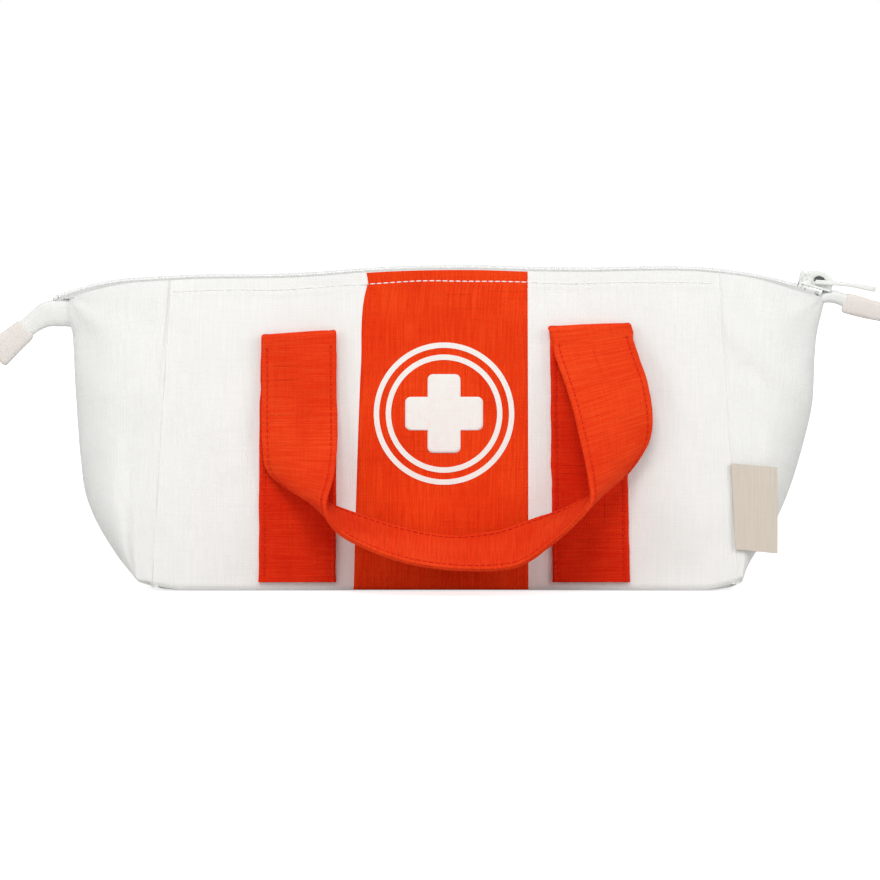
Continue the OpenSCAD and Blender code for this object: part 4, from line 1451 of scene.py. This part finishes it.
def pull_piece():
    """Pull: two rails round a slotted eye, a waist and a rounded tab, bent up a little."""
    eye_w, rail = 2.7, 1.5
    eye_l = 8.4
    thick = 0.8

    def height(x):
        return PULL_Z + 0.5 * np.sin(np.clip(x / PULL_L, 0, 1) * math.pi)
    parts = []
    pin_y = np.linspace(-(eye_w / 2 + rail * 0.6), eye_w / 2 + rail * 0.6, 7)
    angles = np.radians(np.arange(0, 360, 30))
    pin = np.array([[(0.62 * math.cos(a), y, PULL_Z + 0.62 * math.sin(a)) for a in angles]
                    for y in pin_y])
    parts.append(loft("pull_pin", on_pin(pin), LACQUER))
    for side in (1, -1):
        x = np.linspace(-0.4, eye_l + 1.5, 16)
        middle = side * (eye_w / 2 + rail / 2) * np.ones_like(x)
        ring_angles = np.radians(np.arange(0, 360, 30) + 15)
        heavy = 0.95 - 0.15 * smooth_step((x - 5.0) / 5.0)
        rings = [[(xx, m + rail / 2 * np.sign(math.cos(a)) * abs(math.cos(a)) ** 0.6,
                   height(xx) + h * np.sign(math.sin(a)) * abs(math.sin(a)) ** 0.6)
                  for a in ring_angles] for xx, m, h in zip(x, middle, heavy)]
        parts.append(loft("pull_rail", on_pin(rings), LACQUER))
    x = np.linspace(eye_l, PULL_L, 26)
    tip = np.clip((PULL_L - x) / (PULL_W / 2), 0, 1)
    half = np.where(tip < 1, PULL_W / 2 * np.sqrt(1 - (1 - tip) ** 2), PULL_W / 2)
    shoulder = smooth_step((x - eye_l) / 3.0)
    half = np.minimum(half, (eye_w / 2 + rail) * (1 - shoulder) + PULL_W / 2 * shoulder)
    half = np.maximum(half, 0.3)
    ring_angles = np.radians(np.arange(0, 360, 15) + 7.5)
    grip = thick + 0.22 * smooth_step((x - 14.0) / 6.0)
    rings = [[(xx, h * np.sign(math.cos(a)) * abs(math.cos(a)) ** 0.5,
               height(xx) + g * np.sign(math.sin(a)) * abs(math.sin(a)) ** 0.5)
              for a in ring_angles] for xx, h, g in zip(x, half, grip)]
    parts.append(loft("pull_tab_body", on_pin(rings), LACQUER))
    return joined("pull_body", parts)


def stop_piece(end):
    """Small clamped metal stop over both coils."""
    x0 = COIL_END + 1.3
    x = np.linspace(-1.1, 1.1, 7)
    angles = np.radians(np.arange(0, 360, 20))
    rings = []
    for xx in x:
        share = math.sqrt(max(0.0, 1 - (abs(xx) / 1.25) ** 4))
        rings.append([(end * (x0 + xx), 2.35 * share ** 0.3 * np.sign(math.cos(a))
                       * abs(math.cos(a)) ** 0.5,
                       float(zip_z(end * x0)) + COIL_Z + 1.15 * share * np.sign(math.sin(a))
                       * abs(math.sin(a)) ** 0.5) for a in angles])
    word = "right" if end > 0 else "left"
    stop = loft(f"end_stop_{word}", np.array(rings), LACQUER)
    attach(stop, "bag")
    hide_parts(f"zip_stop_{word}")


# ---------------------------------------------------------------- wings and tabs

def flat_tube(name, stations, material, power=0.55, seed=0):
    """Folded strip seen edge on: stations are (x, z, half height, half depth, slope)."""
    s = smooth_stations(stations, 5)
    angles = np.radians(np.arange(0, 360, 11.25))
    ca = np.sign(np.cos(angles)) * np.abs(np.cos(angles)) ** power
    sa = np.sign(np.sin(angles)) * np.abs(np.sin(angles)) ** power
    lean = np.radians(s[:, 4])
    rings = []
    for (x, z, half_h, half_d, _), a in zip(s, lean):
        up = np.array([-math.sin(a), 0.0, math.cos(a)])
        noise = 0.25 * cloth_noise(np.full_like(ca, x) * 1.0, ca * 9 + 20, 5.0, 400 + seed)
        ring = (np.array([x, 0.0, z]) + up * (sa * half_h)[:, None]
                + np.array([0.0, 1.0, 0.0]) * (ca * (half_d + noise))[:, None])
        rings.append(ring)
    return loft(name, np.array(rings), material)


def build_tabs():
    left_wing = flat_tube("wing_cloth_left", [
        (-138.0, 109.2, 7.7, 2.6, 0), (-144.0, 108.6, 6.8, 2.7, 2), (-148.0, 108.1, 6.3, 2.8, 5),
        (-152.0, 107.7, 5.6, 2.9, 10), (-156.0, 107.3, 5.4, 2.9, 18), (-159.0, 106.7, 5.0, 2.7, 26),
        (-162.0, 105.0, 4.3, 2.4, 32), (-165.4, 102.5, 3.9, 2.2, 39),
        (-168.0, 100.4, 3.8, 2.0, 41)], WHITE_CANVAS, power=0.75, seed=1)
    right_wing = flat_tube("wing_cloth_right", [
        (143.0, 112.0, 2.4, 3.9, -8), (147.6, 112.4, 2.4, 3.9, -8), (150.8, 113.8, 2.4, 3.9, -12),
        (154.5, 114.1, 2.6, 3.3, -13), (158.5, 112.8, 2.6, 2.4, -15), (161.0, 111.4, 2.7, 1.9, -14),
        (163.0, 110.6, 2.8, 1.6, -14)], WHITE_CANVAS, power=0.75, seed=2)
    for wing in (left_wing, right_wing):
        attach(wing, "bag")
    left_tab = flat_tube("tab_cloth_left", [
        (-166.4, 101.4, 3.7, 2.0, 41), (-167.0, 100.9, 4.4, 2.5, 41), (-168.6, 99.6, 4.8, 2.7, 41),
        (-171.8, 96.9, 5.1, 2.6, 41), (-175.8, 93.3, 5.5, 2.4, 42), (-178.4, 90.9, 5.6, 2.2, 43),
        (-179.0, 90.3, 4.6, 1.6, 43)], TAB_CANVAS, seed=3)
    right_tab = flat_tube("tab_cloth_right", [
        (158.4, 111.6, 3.0, 2.0, -12), (159.4, 111.5, 3.9, 2.4, -14), (163.0, 110.6, 4.1, 2.6, -15),
        (169.0, 109.0, 3.9, 2.3, -13), (176.0, 107.6, 3.7, 2.1, -10), (179.6, 107.0, 3.5, 1.9, -8),
        (180.6, 106.9, 2.7, 1.4, -8)], TAB_CANVAS, seed=4)
    for tab, word in ((left_tab, "left"), (right_tab, "right")):
        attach(tab, "bag")
        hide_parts(f"tail_tab_{word}")


# ---------------------------------------------------------------- side label

def build_label():
    """Folded blank ribbon: sewn in at the seam, its fold at the free edge."""
    middle = LABEL_Z + LABEL_H / 2
    lean = math.atan((panel_y(LABEL_Z) - panel_y(LABEL_Z + LABEL_H)) / LABEL_H)
    cant = math.atan((seam_x(LABEL_Z) - seam_x(LABEL_Z + LABEL_H)) / LABEL_H)
    turn = math.radians(8.0)
    half_gap = 0.22
    out = np.linspace(0, 1, 22)
    front = np.stack([out * (LABEL_W - half_gap), -half_gap - 0.12 * np.sin(out * math.pi)], -1)
    bend = np.linspace(-90, 90, 9)[1:-1]
    nose = np.array([(LABEL_W - half_gap + half_gap * math.cos(math.radians(a)),
                      half_gap * math.sin(math.radians(a))) for a in bend])
    back = np.stack([front[::-1, 0], half_gap + 0.05 * np.sin(out * math.pi)], -1)
    strip = np.concatenate([front, nose, back])
    rows = np.linspace(-LABEL_H / 2, LABEL_H / 2, 30)
    x = np.broadcast_to(strip[:, 0], (30, len(strip)))
    y = np.broadcast_to(strip[:, 1], (30, len(strip)))
    z = np.broadcast_to(rows[:, None], x.shape)
    curl = 0.9 * smooth_step(x / LABEL_W) ** 2 * np.cos(z / LABEL_H * 2.2)
    y = y - curl
    askew = x / LABEL_W
    x, z = x + askew * (1.9 * z / LABEL_H - 0.2), z + 2.3 * (1 - askew) - 0.3
    c, s = math.cos(turn), math.sin(turn)
    x, y = x * c - y * s, x * s + y * c
    cc, sc = math.cos(cant), math.sin(cant)
    x, z = x * cc - z * sc, x * sc + z * cc
    cl, sl = math.cos(lean), math.sin(lean)
    y, z = y * cl + z * sl, -y * sl + z * cl
    place = np.array([seam_x(middle), -panel_y(middle) - 1.0, middle])
    grid = np.stack([x, y, z], axis=-1) + place
    piece = shell("label_ribbon", grid, (0, -1, 0), 0.14, LABEL)
    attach(piece, "label")
    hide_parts("side_label")
    cloth(piece, 2 * LABEL_W, LABEL_H, "folded")


# ---------------------------------------------------------------- stitches

def stitch_tree():
    """Row of thread stitches along a helper line whose points say which way is up."""
    tree = bpy.data.node_groups.new("stitch_row", "GeometryNodeTree")
    face = tree.interface
    face.new_socket("Geometry", in_out="INPUT", socket_type="NodeSocketGeometry")
    for label, value in (("Pitch", 0.003), ("Stitch Length", 0.0024), ("Thread Radius", 0.0002)):
        made = face.new_socket(label, in_out="INPUT", socket_type="NodeSocketFloat")
        made.default_value = value
    face.new_socket("Finish", in_out="INPUT", socket_type="NodeSocketMaterial")
    face.new_socket("Geometry", in_out="OUTPUT", socket_type="NodeSocketGeometry")
    add, link = tree.nodes.new, tree.links.new
    entry, leave = add("NodeGroupInput"), add("NodeGroupOutput")
    to_curve = add("GeometryNodeMeshToCurve")
    link(entry.outputs["Geometry"], to_curve.inputs[0])
    resample = add("GeometryNodeResampleCurve")
    resample.mode = "LENGTH"
    link(to_curve.outputs[0], resample.inputs["Curve"])
    link(entry.outputs["Pitch"], resample.inputs["Length"])
    ball = add("GeometryNodeMeshUVSphere")
    ball.inputs["Segments"].default_value = 8
    ball.inputs["Rings"].default_value = 6
    ball.inputs["Radius"].default_value = 1.0
    half = add("ShaderNodeMath")
    half.operation = "MULTIPLY"
    link(entry.outputs["Stitch Length"], half.inputs[0])
    half.inputs[1].default_value = 0.5
    size = add("ShaderNodeCombineXYZ")
    link(half.outputs[0], size.inputs[0])
    link(entry.outputs["Thread Radius"], size.inputs[1])
    link(entry.outputs["Thread Radius"], size.inputs[2])
    shape = add("GeometryNodeTransform")
    link(ball.outputs["Mesh"], shape.inputs["Geometry"])
    link(size.outputs[0], shape.inputs["Scale"])
    tangent = add("GeometryNodeInputTangent")
    along = add("FunctionNodeAlignRotationToVector")
    along.axis = "X"
    link(tangent.outputs[0], along.inputs["Vector"])
    up = add("GeometryNodeInputNamedAttribute")
    up.data_type = "FLOAT_VECTOR"
    up.inputs["Name"].default_value = "up"
    upright = add("FunctionNodeAlignRotationToVector")
    upright.axis = "Z"
    upright.pivot_axis = "X"
    link(along.outputs[0], upright.inputs["Rotation"])
    link(up.outputs[0], upright.inputs["Vector"])
    place = add("GeometryNodeInstanceOnPoints")
    link(resample.outputs[0], place.inputs["Points"])
    link(shape.outputs[0], place.inputs["Instance"])
    link(upright.outputs[0], place.inputs["Rotation"])
    real = add("GeometryNodeRealizeInstances")
    link(place.outputs[0], real.inputs[0])
    smooth = add("GeometryNodeSetShadeSmooth")
    link(real.outputs[0], smooth.inputs[0])
    paint = add("GeometryNodeSetMaterial")
    link(smooth.outputs[0], paint.inputs["Geometry"])
    link(entry.outputs["Finish"], paint.inputs["Material"])
    link(paint.outputs[0], leave.inputs[0])
    return tree


STITCHES = stitch_tree()


def stitch_row(name, points, normals, material, pitch, length, radius):
    line = polyline(name, points, normals)
    return grown(line, STITCHES, material, Pitch=pitch * MM, Stitch_Length=length * MM,
                 Thread_Radius=radius * MM)


def panel_row(x, below, side, out):
    """Points and outward normals of a row that follows a panel's top edge."""
    z = zip_z(x) - TAPE_T / 2 - below
    points = front_point(x, z, out, side)
    lean = np.arctan((panel_y(z - 1) - panel_y(z + 1)) / 2)
    normals = np.stack([0 * x, -side * np.cos(lean), np.sin(lean)], axis=-1)
    return points, normals


def build_stitches():
    wobble = 0.15
    for side, body, word in ((1, "mouth_front", "front"), (-1, "mouth_back", "back")):
        x = np.linspace(-HALF_MOUTH + 2, HALF_MOUTH - 2, 260)
        raised = BAND_T * smooth_step((BAND_RIGHT - np.abs(x + 0.5)) / 0.6)
        points, normals = panel_row(x, HEM_STITCH + wobble * np.sin(x / 6.0), side, raised + 0.12)
        row = stitch_row(f"hem_stitches_{word}", points, normals, WHITE_THREAD, 2.6, 2.35, 0.26)
        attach(row, body)
    centre, width, cuts = handle_path()
    along = unit(np.gradient(centre, axis=0))
    normal = unit(np.cross(along, width))
    last = len(centre) - 1
    for word, mouth, flip in (("front", "mouth_front", False), ("back", "mouth_back", True)):
        turn = np.array([-1.0, -1.0, 1.0]) if flip else np.ones(3)
        c, w, nrm = centre * turn, width * turn, normal * turn
        spans = (("sewn_a", 2, cuts[0] - 1, mouth), ("loop", cuts[1], cuts[2], f"handle_{word}"),
                 ("sewn_b", cuts[3] + 1, last - 2, mouth))
        for span, first, stop, body in spans:
            rows = []
            faces = (1,) if span != "loop" else (-1, 1)
            for edge in (-1, 1):
                for face in faces:
                    run = slice(first, stop + 1)
                    points = c[run] + w[run] * edge * STRAP_STITCH + nrm[run] * face * (
                        STRAP_T / 2 - 0.12)
                    rows.append(stitch_row("row", points, nrm[run] * face, RED_THREAD,
                                           2.5, 2.0, 0.20))
            piece = joined(f"strap_stitches_{word}_{span}", rows)
            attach(piece, body)


# ---------------------------------------------------------------- floor, light and camera

def build_stage():
    mesh = bpy.data.meshes.new("floor")
    reach = 6.0
    mesh.from_pydata([(-reach, -reach, 0), (reach, -reach, 0), (reach, reach, 0), (-reach, reach, 0)],
                     [], [(0, 1, 2, 3)])
    floor = bpy.data.objects.new("floor", mesh)
    bpy.context.scene.collection.objects.link(floor)
    floor.location.z = -0.0004
    material, n, surface = new_material("white_floor")
    surface.inputs["Base Color"].default_value = (0.75, 0.75, 0.75, 1)
    surface.inputs["Roughness"].default_value = 0.9
    surface.inputs["Specular IOR Level"].default_value = 0.0
    path = n.add("ShaderNodeLightPath")
    glow = n.add("ShaderNodeEmission")
    seen = n.math("MAXIMUM", path.outputs["Is Camera Ray"],
                  n.math("MAXIMUM", path.outputs["Is Glossy Ray"], path.outputs["Is Transmission Ray"]))
    away = n.add("ShaderNodeVectorMath", operation="LENGTH")
    n.wire(n.add("ShaderNodeTexCoord").outputs["Object"], away.inputs[0])
    strength = n.ramp(away.outputs["Value"], 0.2, 0.8, 0.76, 1.0)
    n.wire(n.math("MULTIPLY", seen, strength), glow.inputs["Strength"])
    total = n.add("ShaderNodeAddShader")
    n.wire(surface.outputs[0], total.inputs[0])
    n.wire(glow.outputs[0], total.inputs[1])
    out = material.node_tree.nodes["Material Output"]
    n.wire(total.outputs[0], out.inputs["Surface"])
    mesh.materials.append(material)


def build_world():
    world = bpy.data.worlds.new("studio")
    bpy.context.scene.world = world
    world.use_nodes = True
    n = Nodes(world.node_tree)
    back = world.node_tree.nodes["Background"]
    back.inputs["Color"].default_value = (1, 1, 1, 1)
    path = n.add("ShaderNodeLightPath")
    seen = n.math("MAXIMUM", path.outputs["Is Camera Ray"],
                  n.math("MAXIMUM", path.outputs["Is Glossy Ray"], path.outputs["Is Transmission Ray"]))
    ambient = 0.395
    n.wire(n.math("MULTIPLY_ADD", seen, 1.0 - ambient, ambient), back.inputs["Strength"])


def area_lamp(name, place, aim, size, power):
    data = bpy.data.lights.new(name, "AREA")
    data.shape = "SQUARE"
    data.size = size
    data.energy = power
    lamp = bpy.data.objects.new(name, data)
    bpy.context.scene.collection.objects.link(lamp)
    lamp.location = place
    lamp.rotation_euler = (Vector(aim) - Vector(place)).to_track_quat("-Z", "Y").to_euler()


def build_lights():
    aim = (0.0, 0.0, 0.06)
    area_lamp("key", (-0.15, -1.15, 1.55), aim, 0.9, 15.5)
    area_lamp("left", (-1.35, -0.95, 0.75), aim, 0.8, 5.7)
    area_lamp("right", (1.35, -0.95, 0.75), aim, 0.8, 7.1)


CAMERA_UP = 4.0        # degrees above the level of the floor
CAMERA_AWAY = 2.2
VIEW_WIDTH = 0.3476    # what the square picture spans at the bag


def build_camera():
    data = bpy.data.cameras.new("camera")
    camera = bpy.data.objects.new("camera", data)
    bpy.context.scene.collection.objects.link(camera)
    data.sensor_width = 36.0
    data.lens = 36.0 * CAMERA_AWAY / VIEW_WIDTH
    aim = Vector((-0.002, -0.020, 0.0583))
    rise = math.radians(CAMERA_UP)
    away = Vector((0.0, -math.cos(rise), math.sin(rise))) * CAMERA_AWAY
    camera.location = aim + away
    camera.rotation_euler = (-away).to_track_quat("-Z", "Y").to_euler()
    bpy.context.scene.camera = camera


# ---------------------------------------------------------------- the whole bag

build_camera()
build_world()
build_lights()
build_stage()
build_body()
build_band()
build_handles()
build_zip()
build_slider()
stop_piece(-1)
stop_piece(1)
build_tabs()
build_label()
build_stitches()
bpy.context.scene.view_settings.view_transform = "Standard"
